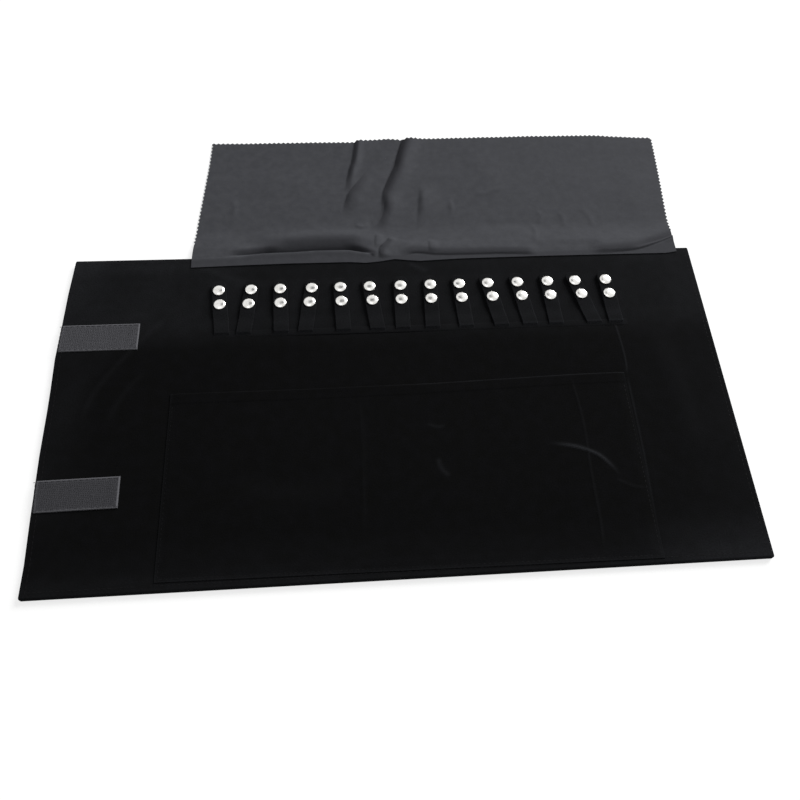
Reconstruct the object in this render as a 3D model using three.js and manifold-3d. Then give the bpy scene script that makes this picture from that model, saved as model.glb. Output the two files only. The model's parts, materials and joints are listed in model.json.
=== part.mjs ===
// A velvet jewelry roll, laid open on a table with its inside up.
// Millimetres, +Z up, +X along the roll, +Y towards the cover flap.
// The origin is the middle of the panel, on its underside.
import * as THREE from 'three';
import { mergeVertices } from 'three/addons/utils/BufferGeometryUtils.js';
import Module from 'manifold-3d';

const wasm = await Module();
wasm.setup();

// Panel: a velvet face and a leatherette back with thin padding between them.
const panelLength = 490;
const panelDepth = 264;
const cornerRadius = 4;
const backThickness = 1.2;
const paddingThickness = 1.8;
const faceThickness = 1;
const layerGap = 0.1;
const foldGap = 0.3;
const seatGap = 0.3;

// Snap straps: a row of velvet tabs, each sewn down at its front end and snapped twice at its rear end.
const strapCount = 14;
const firstStrapInset = 37;
const lastStrapInset = 73.1;
const strapSeamInset = 72;
const strapWidth = 12;
const strapTipMargin = 9;
const strapThickness = 1.1;
const strapTipRadius = 4;
const strapLift = 1.6;
// Each strap's lean, as a share of the lean at which two straps leaning together would touch.
const strapLeans = [0.55, -0.7, 0.15, -0.75, 0.25, 0.7, 0, -0.1, 0.35, 1.05, 0.85, 0.3, 1.4, 0.3];

// Snaps: domed caps and sockets riveted through a strap, over studs that stand up through the velvet.
const snapReach = 25.3;
const snapSpacing = 13.2;
const capRadius = 4.6;
const capHeight = 2;
const capRimHeight = 0.6;
const capShoulderInset = 1.15;
const capCrownHeight = 0.5;
const neckRadius = 1;
const neckClearance = 0.35;
const socketWall = 1.3;
const socketHeight = 1.1;
const backingWidth = 7;
const backingThickness = 0.3;
const studBulbRadius = 1.5;
const studBulbHeight = 0.45;
const studClearance = 0.4;
const studTopClearance = 0.3;
const studTapeThickness = 0.5;
const studTapeMargin = 4;
const snapSides = 10;
const studSides = 6;

// Fold lines: the roll closes towards the base section, first from the right and then from the left.
const innerFoldAfterStrap = 12;
const middleFoldAfterStrap = 6;
const closingLength = 77;

// Welt: the seam tape that catches the straps' sewn ends.
const weltDepth = 6;
const weltOverhang = 3;

// Long flat pocket below the straps.
const pocketLeftInset = 6;
const pocketRightInset = 74;
const pocketMouthDrop = 48;
const pocketFrontInset = 5;
const pocketThickness = 0.9;

// Cover flap of thin cloth, sewn along the rear edge and laid open behind the panel.
const flapLeftInset = 14;
const flapRightInset = 10;
const flapReach = 129;
const flapThickness = 0.7;
const flapHingeInset = 1;
const flapHemDepth = 6;
const flapDropLength = 8;
const flapDropSteps = 5;
const flapFloorGap = 0.15;

// Hook strips on the closing section, and the loop strips that they meet on the middle section's back.
const hookLength = 55;
const hookWidth = 23;
const hookThickness = 1.6;
const loopLength = 50;
const loopThickness = 0.7;
const loopFoldInset = 2;
const upperClosureInset = 70.5;
const lowerClosureInset = 69;

const arcSegments = 4;
const cutOverrun = 1;
const mergeTolerance = 1e-4;

// Heights and places that follow from the sizes above.
const paddingBottom = backThickness + layerGap;
const paddingTop = paddingBottom + paddingThickness;
const faceBottom = paddingTop + layerGap;
const panelTop = faceBottom + faceThickness;
const panelLeft = -panelLength / 2;
const panelRight = panelLength / 2;
const panelFront = -panelDepth / 2;
const panelRear = panelDepth / 2;
const closingFold = panelLeft + closingLength;
const firstStrapX = closingFold + firstStrapInset;
const strapPitch = (panelRight - lastStrapInset - firstStrapX) / (strapCount - 1);
const strapX = (index) => firstStrapX + index * strapPitch;
const foldAfter = (count) => (strapX(count - 1) + strapX(count)) / 2;
const middleFold = foldAfter(middleFoldAfterStrap);
const innerFold = foldAfter(innerFoldAfterStrap);
const snapMiddle = snapReach + snapSpacing / 2;
const snapReaches = [snapReach, snapReach + snapSpacing];
const strapHingeY = panelRear - strapSeamInset;
const snapRowY = strapHingeY + snapMiddle;
const strapLength = snapReach + snapSpacing + strapTipMargin;
const strapBottom = panelTop + strapLift;
const touchingLean = Math.asin((strapPitch - strapWidth) / 2 / snapMiddle);
const neckHoleRadius = neckRadius + neckClearance;
const backingBottom = strapBottom - layerGap - backingThickness;
const socketBoreRadius = studBulbRadius + studClearance;
const socketRadius = socketBoreRadius + socketWall;
const pocketLeft = closingFold + pocketLeftInset;
const pocketRight = panelRight - pocketRightInset;
const flapLeft = closingFold + flapLeftInset;
const flapRight = panelRight - flapRightInset;
const flapHingeY = panelRear - flapHingeInset;
const closureYs = { upper: panelRear - upperClosureInset, lower: panelFront + lowerClosureInset };

// Sections from left to right, each with the straps that it carries.
const sections = [
  { name: 'closing', left: panelLeft, right: closingFold, straps: [] },
  { name: 'base', left: closingFold, right: middleFold, straps: strapsBetween(closingFold, middleFold) },
  { name: 'middle', left: middleFold, right: innerFold, straps: strapsBetween(middleFold, innerFold) },
  { name: 'inner', left: innerFold, right: panelRight, straps: strapsBetween(innerFold, panelRight) },
];

const finish = {
  velvet: new THREE.MeshStandardMaterial({ color: 0x0b0b0d, roughness: 0.95, metalness: 0 }),
  padding: new THREE.MeshStandardMaterial({ color: 0x3a3a3c, roughness: 1, metalness: 0 }),
  leatherette: new THREE.MeshStandardMaterial({ color: 0x141416, roughness: 0.55, metalness: 0 }),
  flapCloth: new THREE.MeshStandardMaterial({ color: 0x43454a, roughness: 0.9, metalness: 0 }),
  hookTape: new THREE.MeshStandardMaterial({ color: 0x3c3c40, roughness: 0.8, metalness: 0 }),
  loopTape: new THREE.MeshStandardMaterial({ color: 0x1e1e20, roughness: 1, metalness: 0 }),
  nickel: new THREE.MeshStandardMaterial({ color: 0xdcdcda, roughness: 0.18, metalness: 1 }),
};

function strapsBetween(left, right) {
  return [...Array(strapCount).keys()].filter((index) => strapX(index) > left && strapX(index) < right);
}

function addPiece(parent, name, geometry, material) {
  const mesh = new THREE.Mesh(geometry, material);
  mesh.name = name;
  parent.add(mesh);
}

// A flat sheet seen from above. Its corner radii run from front left, round by front right.
// The front edge may slope, by so much per millimetre along X.
function sheet({ left, right, front, rear, bottom, thickness, radii = [0, 0, 0, 0], holes = [], slope = 0 }) {
  const corners = [
    [left, front + slope * left, 1, 1],
    [right, front + slope * right, -1, 1],
    [right, rear, -1, -1],
    [left, rear, 1, -1],
  ];
  const outline = corners.flatMap(([x, y, inwardX, inwardY], index) => {
    const radius = radii[index];
    if (radius === 0) {
      return [new THREE.Vector2(x, y)];
    }
    const start = Math.PI + (index * Math.PI) / 2;
    const centre = [x + inwardX * radius, y + inwardY * radius];
    const arc = new THREE.EllipseCurve(...centre, radius, radius, start, start + Math.PI / 2);
    return arc.getPoints(arcSegments);
  });
  const shape = new THREE.Shape(outline);
  for (const { x, y, radius } of holes) {
    shape.holes.push(new THREE.Path().absarc(x, y, radius, 0, 2 * Math.PI, true));
  }
  const options = { depth: thickness, bevelEnabled: false, curveSegments: arcSegments };
  return new THREE.ExtrudeGeometry(shape, options).translate(0, 0, bottom);
}

// A side outline of [y, z] points carried along X from one end to the other.
function alongX(outline, left, right) {
  const shape = new THREE.Shape(outline.map(([y, z]) => new THREE.Vector2(y, z)));
  const turn = new THREE.Matrix4().makeBasis(
    new THREE.Vector3(0, 1, 0),
    new THREE.Vector3(0, 0, 1),
    new THREE.Vector3(1, 0, 0),
  );
  const geometry = new THREE.ExtrudeGeometry(shape, { depth: right - left, bevelEnabled: false });
  return geometry.applyMatrix4(turn).translate(left, 0, 0);
}

// A round piece from [radius, height] points that start and end on its axis, standing up along Z.
function turned(profile, sides) {
  const points = profile.map(([radius, height]) => new THREE.Vector2(radius, height));
  return new THREE.LatheGeometry(points, sides).rotateX(Math.PI / 2);
}

function solidOf(geometry) {
  const bare = geometry.index ? geometry.toNonIndexed() : geometry.clone();
  bare.deleteAttribute('normal');
  bare.deleteAttribute('uv');
  const merged = mergeVertices(bare, mergeTolerance);
  return new wasm.Manifold(
    new wasm.Mesh({
      numProp: 3,
      vertProperties: merged.attributes.position.array,
      triVerts: new Uint32Array(merged.index.array),
    }),
  );
}

function geometryOf(solid) {
  const { vertProperties, triVerts } = solid.getMesh();
  const geometry = new THREE.BufferGeometry();
  geometry.setAttribute('position', new THREE.BufferAttribute(new Float32Array(vertProperties), 3));
  geometry.setIndex(new THREE.BufferAttribute(new Uint32Array(triVerts), 1));
  geometry.computeVertexNormals();
  return geometry;
}

function joined(geometries) {
  return geometryOf(geometries.map(solidOf).reduce((whole, solid) => whole.add(solid)));
}

function cutFrom(geometry, cutters) {
  return geometryOf(cutters.map(solidOf).reduce((rest, cutter) => rest.subtract(cutter), solidOf(geometry)));
}

// A section's own edges, drawn back from the fold lines beside it.
function trimmed({ left, right }) {
  return {
    left: left === panelLeft ? left : left + foldGap / 2,
    right: right === panelRight ? right : right - foldGap / 2,
  };
}

// The part of a long strip that lies on one section, or null where it doesn't reach.
function stretchOn(section, left, right) {
  const edges = trimmed(section);
  const stretch = { left: Math.max(edges.left, left), right: Math.min(edges.right, right) };
  return stretch.right > stretch.left ? stretch : null;
}

function strapLean(index) {
  return strapLeans[index % strapLeans.length] * touchingLean;
}

// A strap leans about the middle of its two snaps.
function strapPlace(index) {
  const lean = strapLean(index);
  return new THREE.Matrix4()
    .makeRotationZ(lean)
    .setPosition(strapX(index) + Math.sin(lean) * snapMiddle, snapRowY - Math.cos(lean) * snapMiddle, 0);
}

function sewnEndX(index) {
  return strapX(index) + Math.tan(strapLean(index)) * snapMiddle;
}

function snapPoints(section) {
  return section.straps.flatMap((index) =>
    snapReaches.map((reach) => new THREE.Vector3(0, reach, 0).applyMatrix4(strapPlace(index))),
  );
}

function panelOutline(section) {
  const atLeft = section.left === panelLeft ? cornerRadius : 0;
  const atRight = section.right === panelRight ? cornerRadius : 0;
  return {
    ...trimmed(section),
    front: panelFront,
    rear: panelRear,
    radii: [atLeft, atRight, atRight, atLeft],
  };
}

function faceSheet(section) {
  const holes = snapPoints(section).map(({ x, y }) => ({ x, y, radius: neckHoleRadius }));
  return sheet({ ...panelOutline(section), bottom: faceBottom, thickness: faceThickness, holes });
}

// The tape under the velvet that carries a section's studs reaches a margin past the outer ones.
function studTapeOutline(section) {
  const points = snapPoints(section);
  const xs = points.map(({ x }) => x);
  const ys = points.map(({ y }) => y);
  return {
    left: Math.min(...xs) - studTapeMargin,
    right: Math.max(...xs) + studTapeMargin,
    front: Math.min(...ys) - studTapeMargin,
    rear: Math.max(...ys) + studTapeMargin,
  };
}

function grownBy({ left, right, front, rear }, gap) {
  return { left: left - gap, right: right + gap, front: front - gap, rear: rear + gap };
}

function paddingSheet(section) {
  const body = sheet({ ...panelOutline(section), bottom: paddingBottom, thickness: paddingThickness });
  if (section.straps.length === 0) {
    return body;
  }
  const recessBottom = paddingTop - studTapeThickness - seatGap;
  const recess = sheet({
    ...grownBy(studTapeOutline(section), seatGap),
    bottom: recessBottom,
    thickness: paddingThickness,
  });
  return cutFrom(body, [recess]);
}

// A loop strip lies on the back beside the inner fold, where the closing section folds over it.
function loopOutline(y) {
  const right = innerFold - loopFoldInset;
  return {
    left: right - loopLength,
    right,
    front: y - hookWidth / 2,
    rear: y + hookWidth / 2,
  };
}

function backSheet(section) {
  const body = sheet({ ...panelOutline(section), bottom: 0, thickness: backThickness });
  if (section.name !== 'middle') {
    return body;
  }
  const loopDepth = loopThickness + layerGap;
  const recesses = Object.values(closureYs).map((y) =>
    sheet({ ...grownBy(loopOutline(y), seatGap), bottom: -cutOverrun, thickness: cutOverrun + loopDepth }),
  );
  return cutFrom(body, recesses);
}

function snapStuds(section) {
  const tapeTop = paddingTop - layerGap;
  const tape = sheet({
    ...studTapeOutline(section),
    bottom: tapeTop - studTapeThickness,
    thickness: studTapeThickness,
  });
  const bulbTop = backingBottom - studTopClearance;
  const bulbBottom = bulbTop - studBulbHeight;
  const stud = turned(
    [
      [0, tapeTop - studTapeThickness / 2],
      [neckRadius, tapeTop - studTapeThickness / 2],
      [neckRadius, bulbBottom],
      [studBulbRadius, bulbBottom],
      [studBulbRadius, bulbTop],
      [0, bulbTop],
    ],
    studSides,
  );
  return joined([tape, ...snapPoints(section).map(({ x, y }) => stud.clone().translate(x, y, 0))]);
}

// A strap's sewn end is cut along the seam, so that it folds back squarely however it leans.
function strapTab(index) {
  const lean = strapLean(index);
  return sheet({
    left: -strapWidth / 2,
    right: strapWidth / 2,
    front: snapMiddle - snapMiddle / Math.cos(lean),
    slope: -Math.tan(lean),
    rear: strapLength,
    bottom: strapBottom,
    thickness: strapThickness,
    radii: [0, 0, strapTipRadius, strapTipRadius],
    holes: snapReaches.map((reach) => ({ x: 0, y: reach, radius: neckHoleRadius })),
  });
}

// Two caps, with a backing strip under the strap that holds both sockets.
function snapPair() {
  const capBottom = strapBottom + strapThickness + layerGap;
  const backingMiddle = backingBottom + backingThickness / 2;
  const socketBottom = strapBottom - socketHeight;
  const cap = turned(
    [
      [0, backingMiddle],
      [neckRadius, backingMiddle],
      [neckRadius, capBottom],
      [capRadius, capBottom],
      [capRadius, capBottom + capRimHeight],
      [capRadius - capShoulderInset, capBottom + capHeight - capCrownHeight],
      [0, capBottom + capHeight],
    ],
    snapSides,
  );
  const socket = turned(
    [
      [0, backingBottom],
      [socketBoreRadius, backingBottom],
      [socketBoreRadius, socketBottom],
      [socketRadius, socketBottom],
      [socketRadius, backingMiddle],
      [0, backingMiddle],
    ],
    snapSides,
  );
  const backing = sheet({
    left: -backingWidth / 2,
    right: backingWidth / 2,
    front: snapReaches[0] - backingWidth / 2,
    rear: snapReaches[1] + backingWidth / 2,
    bottom: backingBottom,
    thickness: backingThickness,
  });
  const halves = snapReaches.flatMap((reach) =>
    [cap, socket].map((half) => half.clone().translate(0, reach, 0)),
  );
  return joined([backing, ...halves]);
}

function weltStrip({ left, right }) {
  return sheet({
    left,
    right,
    front: strapHingeY - weltDepth / 2,
    rear: strapHingeY + weltDepth / 2,
    bottom: panelTop + layerGap,
    thickness: strapLift - seatGap - layerGap,
  });
}

function pocketSheet({ left, right }) {
  return sheet({
    left,
    right,
    front: panelFront + pocketFrontInset,
    rear: strapHingeY - pocketMouthDrop,
    bottom: panelTop + seatGap,
    thickness: pocketThickness,
  });
}

function flapHem({ left, right }) {
  return sheet({
    left,
    right,
    front: flapHingeY - flapHemDepth,
    rear: flapHingeY - seatGap / 2,
    bottom: panelTop + layerGap,
    thickness: flapThickness,
  });
}

// The flap leaves the hem level, drops past the panel's rear edge and lies flat to its free edge.
function flapSheet({ left, right }) {
  const highest = panelTop + seatGap;
  const dropStart = panelRear + seatGap;
  const drop = [...Array(flapDropSteps + 1).keys()].map((step) => {
    const share = step / flapDropSteps;
    const ease = share * share * (3 - 2 * share);
    return [dropStart + share * flapDropLength, highest + ease * (flapFloorGap - highest)];
  });
  const underside = [
    [flapHingeY + seatGap / 2, highest],
    ...drop,
    [flapHingeY + flapReach, flapFloorGap],
  ];
  const upperSide = underside.map(([y, z]) => [y, z + flapThickness]).reverse();
  return alongX([...underside, ...upperSide], left, right);
}

function addPanel(group, section) {
  addPiece(group, `${section.name}_back`, backSheet(section), finish.leatherette);
  addPiece(group, `${section.name}_padding`, paddingSheet(section), finish.padding);
  addPiece(group, `${section.name}_face`, faceSheet(section), finish.velvet);
}

function addStraps(group, section) {
  if (section.straps.length === 0) {
    return;
  }
  const sewnEnds = section.straps.map(sewnEndX);
  const margin = strapWidth / 2 + weltOverhang;
  const welt = stretchOn(section, Math.min(...sewnEnds) - margin, Math.max(...sewnEnds) + margin);
  addPiece(group, `${section.name}_strap_welt`, weltStrip(welt), finish.velvet);
  addPiece(group, `${section.name}_snap_studs`, snapStuds(section), finish.nickel);
  for (const index of section.straps) {
    const strap = new THREE.Group();
    strap.applyMatrix4(strapPlace(index));
    const number = String(index + 1).padStart(2, '0');
    addPiece(strap, `strap_${number}`, strapTab(index), finish.velvet);
    addPiece(strap, `snap_pair_${number}`, snapPair(), finish.nickel);
    group.add(strap);
  }
}

function addPocketAndFlap(group, section) {
  const pocket = stretchOn(section, pocketLeft, pocketRight);
  if (pocket) {
    addPiece(group, `${section.name}_pocket`, pocketSheet(pocket), finish.velvet);
  }
  const flap = stretchOn(section, flapLeft, flapRight);
  if (flap) {
    addPiece(group, `${section.name}_flap_hem`, flapHem(flap), finish.flapCloth);
    addPiece(group, `${section.name}_flap`, flapSheet(flap), finish.flapCloth);
  }
}

function addClosures(closing, middle) {
  for (const [place, y] of Object.entries(closureYs)) {
    const hook = sheet({
      left: panelLeft,
      right: panelLeft + hookLength,
      front: y - hookWidth / 2,
      rear: y + hookWidth / 2,
      bottom: panelTop + layerGap,
      thickness: hookThickness,
    });
    addPiece(closing, `hook_strip_${place}`, hook, finish.hookTape);
    const loop = sheet({ ...loopOutline(y), bottom: 0, thickness: loopThickness });
    addPiece(middle, `loop_strip_${place}`, loop, finish.loopTape);
  }
}

const roll = new THREE.Group();
const groups = {};
for (const section of sections) {
  const group = new THREE.Group();
  groups[section.name] = group;
  addPanel(group, section);
  addStraps(group, section);
  addPocketAndFlap(group, section);
  roll.add(group);
}
addClosures(groups.closing, groups.middle);

export default roll;
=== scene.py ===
"""Looks of a velvet jewelry roll, laid open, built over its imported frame.

Sizes are millimetres in the frame's axes: +X along the roll, +Y towards the cover flap, +Z up.
"""

import json
import logging
import math
from dataclasses import dataclass, field
from enum import Enum
from functools import partial
from itertools import accumulate
from typing import Any, Callable, Sequence

import bpy
import numpy as np
from mathutils import Matrix, Vector

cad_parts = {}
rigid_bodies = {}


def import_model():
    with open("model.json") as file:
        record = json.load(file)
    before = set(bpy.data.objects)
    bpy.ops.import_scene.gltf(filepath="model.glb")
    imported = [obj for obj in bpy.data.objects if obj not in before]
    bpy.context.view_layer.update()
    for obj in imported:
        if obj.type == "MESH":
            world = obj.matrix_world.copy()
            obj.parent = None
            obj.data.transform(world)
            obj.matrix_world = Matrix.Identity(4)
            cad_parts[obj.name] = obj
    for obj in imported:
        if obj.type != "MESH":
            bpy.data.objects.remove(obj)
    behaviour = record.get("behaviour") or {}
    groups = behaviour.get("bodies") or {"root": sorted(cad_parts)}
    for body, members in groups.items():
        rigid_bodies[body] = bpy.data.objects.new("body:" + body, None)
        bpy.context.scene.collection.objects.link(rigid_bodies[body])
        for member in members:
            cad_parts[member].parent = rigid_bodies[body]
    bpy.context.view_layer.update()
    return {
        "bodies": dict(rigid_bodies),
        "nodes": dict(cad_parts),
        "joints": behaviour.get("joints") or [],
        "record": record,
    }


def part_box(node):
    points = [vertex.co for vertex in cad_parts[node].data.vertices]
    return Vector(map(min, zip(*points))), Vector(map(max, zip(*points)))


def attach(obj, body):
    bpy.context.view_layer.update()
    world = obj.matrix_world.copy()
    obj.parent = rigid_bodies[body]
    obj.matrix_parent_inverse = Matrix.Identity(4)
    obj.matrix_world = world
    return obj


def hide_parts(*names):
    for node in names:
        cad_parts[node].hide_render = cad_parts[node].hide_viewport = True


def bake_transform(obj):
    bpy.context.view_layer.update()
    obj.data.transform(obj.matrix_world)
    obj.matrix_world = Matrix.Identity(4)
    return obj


MM = 0.001
CLOTH_MAP = "Cloth"
NAP = "nap"
SHARP_EDGE = math.radians(48)
LOG = logging.getLogger("jewelry_roll")

Array = np.ndarray
# Two grids of values, such as x and y.
Pair = tuple[Array, Array]
Path = Sequence[tuple[float, float]]
# Stretches of close grid lines: from, to and spacing.
Dense = Sequence[tuple[float, float, float]]
# Soft dents in cloth: a seed, their size and their height.
Dents = Sequence[tuple[int, float, float]]
Shape = tuple[Array, list[list[int]]]
Tree = bpy.types.NodeTree
Sockets = dict[str | int, bpy.types.NodeSocket]
Piece = bpy.types.Object


class Section(Enum):
    """The panel's sections, from the closing end to the end that is rolled in first."""

    CLOSING = "closing"
    BASE = "base"
    MIDDLE = "middle"
    INNER = "inner"

    @property
    def body(self) -> str:
        """The CAD body that carries the section."""
        return f"{self.value}_section"


class Slot(Enum):
    """The record's material slots."""

    VELVET = "velvet"
    LEATHERETTE = "leatherette"
    FLAP_CLOTH = "flap_cloth"
    HOOK_TAPE = "hook_tape"
    LOOP_TAPE = "loop_tape"
    NICKEL = "nickel"


def linear(colour: str) -> tuple[float, float, float, float]:
    """Turns an sRGB hex colour into linear RGBA.

    Args:
        colour: Six hex digits after a #.

    Returns:
        Linear red, green and blue, with alpha 1.
    """
    shares = [int(colour[i : i + 2], 16) / 255 for i in (1, 3, 5)]
    red, green, blue = [s / 12.92 if s <= 0.04045 else ((s + 0.055) / 1.055) ** 2.4 for s in shares]
    return red, green, blue, 1.0


def per_metre(size: float) -> float:
    """The texture scale whose features are so many millimetres wide."""
    return 1 / (size * MM)


def smooth(share: Array) -> Array:
    """Eases a share from 0 to 1, held at both ends."""
    held = np.clip(share, 0, 1)
    return held * held * (3 - 2 * held)


def add_node(
    tree: Tree,
    kind: str,
    settings: dict[str | int, Any] | None = None,
    links: Sockets | None = None,
) -> bpy.types.NodeOutputs:
    """Adds a node, sets its inputs or attributes, and links its inputs.

    Args:
        tree: The node tree.
        kind: Blender's name of the node type, after ShaderNode.
        settings: Values by input name, input number or attribute name.
        links: Sockets of other nodes by input name or number.

    Returns:
        The new node's outputs.
    """
    node = tree.nodes.new(f"ShaderNode{kind}")
    for name, value in (settings or {}).items():
        if isinstance(name, int) or name in node.inputs:
            node.inputs[name].default_value = value
        else:
            setattr(node, name, value)
    for name, socket in (links or {}).items():
        tree.links.new(socket, node.inputs[name])
    return node.outputs


def cleared_tree(owner: bpy.types.Material | bpy.types.World) -> Tree:
    """Empties the node tree of a new material or world.

    Args:
        owner: The material or world.

    Returns:
        Its tree.
    """
    owner.use_nodes = True
    owner.node_tree.nodes.clear()
    return owner.node_tree


# The numbers of a colour mix's sockets, because its hidden sockets have the same names.
MIX_SHARE, MIX_FIRST, MIX_SECOND, MIX_COLOUR = 0, 6, 7, 2
COLOUR_MIX = {"data_type": "RGBA"}
EASED = {"interpolation_type": "SMOOTHSTEP"}
NOISE_ROUGHNESS = {"Roughness": 0.55}
# How many waves a wave texture draws in one metre at a scale of 1.
WAVES_PER_SCALE = 10 / math.pi


@dataclass(frozen=True)
class Finish:
    """A surface finish: a principled shader with its own pattern nodes."""

    name: str
    slot: Slot
    colour: str
    second_colour: str
    roughness: float
    metallic: float = 0.0
    specular: float = 0.5
    sheen: float = 0.0
    sheen_roughness: float = 0.4
    sheen_colour: str = "#ffffff"

    def material(self) -> bpy.types.Material:
        """Makes the material once, and gives the same one after that.

        Returns:
            The Blender material.
        """
        found = bpy.data.materials.get(self.name)
        if found:
            return found
        made = bpy.data.materials.new(self.name)
        tree = cleared_tree(made)
        settings = {
            "Base Color": linear(self.colour),
            "Roughness": self.roughness,
            "Metallic": self.metallic,
            "Sheen Weight": self.sheen,
            "Sheen Roughness": self.sheen_roughness,
            "Sheen Tint": linear(self.sheen_colour),
        }
        if not self.metallic:
            settings["Specular IOR Level"] = self.specular
        shader = add_node(tree, "BsdfPrincipled", settings, self.pattern(tree))
        add_node(tree, "OutputMaterial", links={"Surface": shader["BSDF"]})
        return made

    def pattern(self, tree: Tree) -> Sockets:
        """The sockets that drive the shader's inputs, by input. Each finish has its own."""
        raise NotImplementedError

    def both_colours(self) -> dict[str | int, Any]:
        """The settings of a mix of the finish's two colours."""
        return {**COLOUR_MIX, MIX_FIRST: linear(self.colour), MIX_SECOND: linear(self.second_colour)}


@dataclass(frozen=True)
class CutPileVelvet(Finish):
    """Cut pile velvet: a deep matt black, paler where its pile is crushed and where painted sheen and painted
    light lie.
    """

    crushed_and_sheen_colour: str = "#2e2f32"
    brushed_size: float = 9.0
    # A tuft is near 0.5 mm wide, and is drawn at twice that so that it shows.
    tuft_size: float = 1.1
    tuft_depth: float = 0.35

    def pattern(self, tree: Tree) -> Sockets:
        """Brushed patches, crushed creases with painted sheen and painted light from the mesh, and the tufts
        of the pile.

        Args:
            tree: The node tree.

        Returns:
            The sockets that drive the shader.
        """
        place = {"Vector": add_node(tree, "UVMap", {"uv_map": CLOTH_MAP})["UV"]}
        # The mesh's nap: crushed pile, painted sheen, and painted light that offsets shade.
        crushed = add_node(tree, "Attribute", {"attribute_name": NAP})["Fac"]
        grain = {"Scale": per_metre(self.brushed_size), "Detail": 4.0, **NOISE_ROUGHNESS}
        patches = add_node(tree, "TexNoise", grain, place)["Fac"]
        grain = {"Scale": per_metre(self.tuft_size), "Detail": 3.0, **NOISE_ROUGHNESS}
        tufts = add_node(tree, "TexNoise", grain, place)["Fac"]
        span = {**EASED, "From Min": 0.35, "From Max": 0.7}
        brushed = add_node(tree, "MapRange", span, {"Value": patches})["Result"]
        pile = add_node(tree, "Mix", self.both_colours(), {MIX_SHARE: brushed})[MIX_COLOUR]
        span = {**EASED, "From Min": 0.2, "From Max": 0.7, "To Min": 0.4}
        shade = add_node(tree, "MapRange", span, {"Value": tufts})["Result"]
        streaks = add_node(tree, "Math", {"operation": "MULTIPLY"}, {0: crushed, 1: shade})
        settings = {**COLOUR_MIX, MIX_SECOND: linear(self.crushed_and_sheen_colour)}
        links = {MIX_SHARE: streaks["Value"], MIX_FIRST: pile}
        colour = add_node(tree, "Mix", settings, links)[MIX_COLOUR]
        span = {**EASED, "From Min": 0.3, "From Max": 0.7, "To Min": 0.82}
        dull = add_node(tree, "MapRange", span, {"Value": tufts})["Result"]
        depth = {"Distance": self.tuft_depth * MM, "Strength": 0.5}
        bump = add_node(tree, "Bump", depth, {"Height": tufts})["Normal"]
        return {"Base Color": colour, "Roughness": dull, "Normal": bump}


@dataclass(frozen=True)
class BrushedCloth(Finish):
    """Brushed cotton: a soft plain weave under a short nap, a little mottled."""

    # Flattened nap, which also stands for painted shade on the hem and the rolls' steep sides.
    pressed_and_shade_colour: str = "#2d2d31"
    mottle_size: float = 7.0
    # The thread spacing is near 0.5 mm, and is drawn at twice that so that it shows.
    thread_spacing: float = 1.0
    thread_depth: float = 0.12
    nap_size: float = 5.0
    nap_depth: float = 0.5

    def pattern(self, tree: Tree) -> Sockets:
        """Mottled nap over crossed threads, darker where the nap lies flattened and where painted shade lies.

        Args:
            tree: The node tree.

        Returns:
            The sockets that drive the shader.
        """
        place = {"Vector": add_node(tree, "UVMap", {"uv_map": CLOTH_MAP})["UV"]}
        pressed_and_shaded = add_node(tree, "Attribute", {"attribute_name": NAP})["Fac"]
        grain = {"Scale": per_metre(self.mottle_size), "Detail": 5.0, **NOISE_ROUGHNESS}
        patches = add_node(tree, "TexNoise", grain, place)["Fac"]
        span = {**EASED, "From Min": 0.3, "From Max": 0.7}
        mottle = add_node(tree, "MapRange", span, {"Value": patches})["Result"]
        mix = add_node(tree, "Mix", self.both_colours(), {MIX_SHARE: mottle})
        brushed = mix[MIX_COLOUR]
        settings = {**COLOUR_MIX, MIX_SECOND: linear(self.pressed_and_shade_colour)}
        links = {MIX_SHARE: pressed_and_shaded, MIX_FIRST: brushed}
        colour = add_node(tree, "Mix", settings, links)[MIX_COLOUR]
        spacing = {"Scale": per_metre(self.thread_spacing) / WAVES_PER_SCALE, "Distortion": 1.5}
        threads = {
            number: add_node(
                tree, "TexWave", {"bands_direction": way, **spacing}, place
            )["Fac"]
            for number, way in enumerate("XY")
        }
        weave = add_node(tree, "Math", {"operation": "MAXIMUM"}, threads)["Value"]
        depth = {"Distance": self.thread_depth * MM, "Strength": 0.35}
        woven = add_node(tree, "Bump", depth, {"Height": weave})["Normal"]
        grain = {"Scale": per_metre(self.nap_size), "Detail": 4.0, **NOISE_ROUGHNESS}
        nap = add_node(tree, "TexNoise", grain, place)["Fac"]
        depth = {"Distance": self.nap_depth * MM, "Strength": 0.3}
        bump = add_node(tree, "Bump", depth, {"Height": nap, "Normal": woven})["Normal"]
        span = {**EASED, "To Min": 0.84, "To Max": 0.95}
        dull = add_node(tree, "MapRange", span, {"Value": mottle})["Result"]
        return {"Base Color": colour, "Roughness": dull, "Normal": bump}


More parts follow.
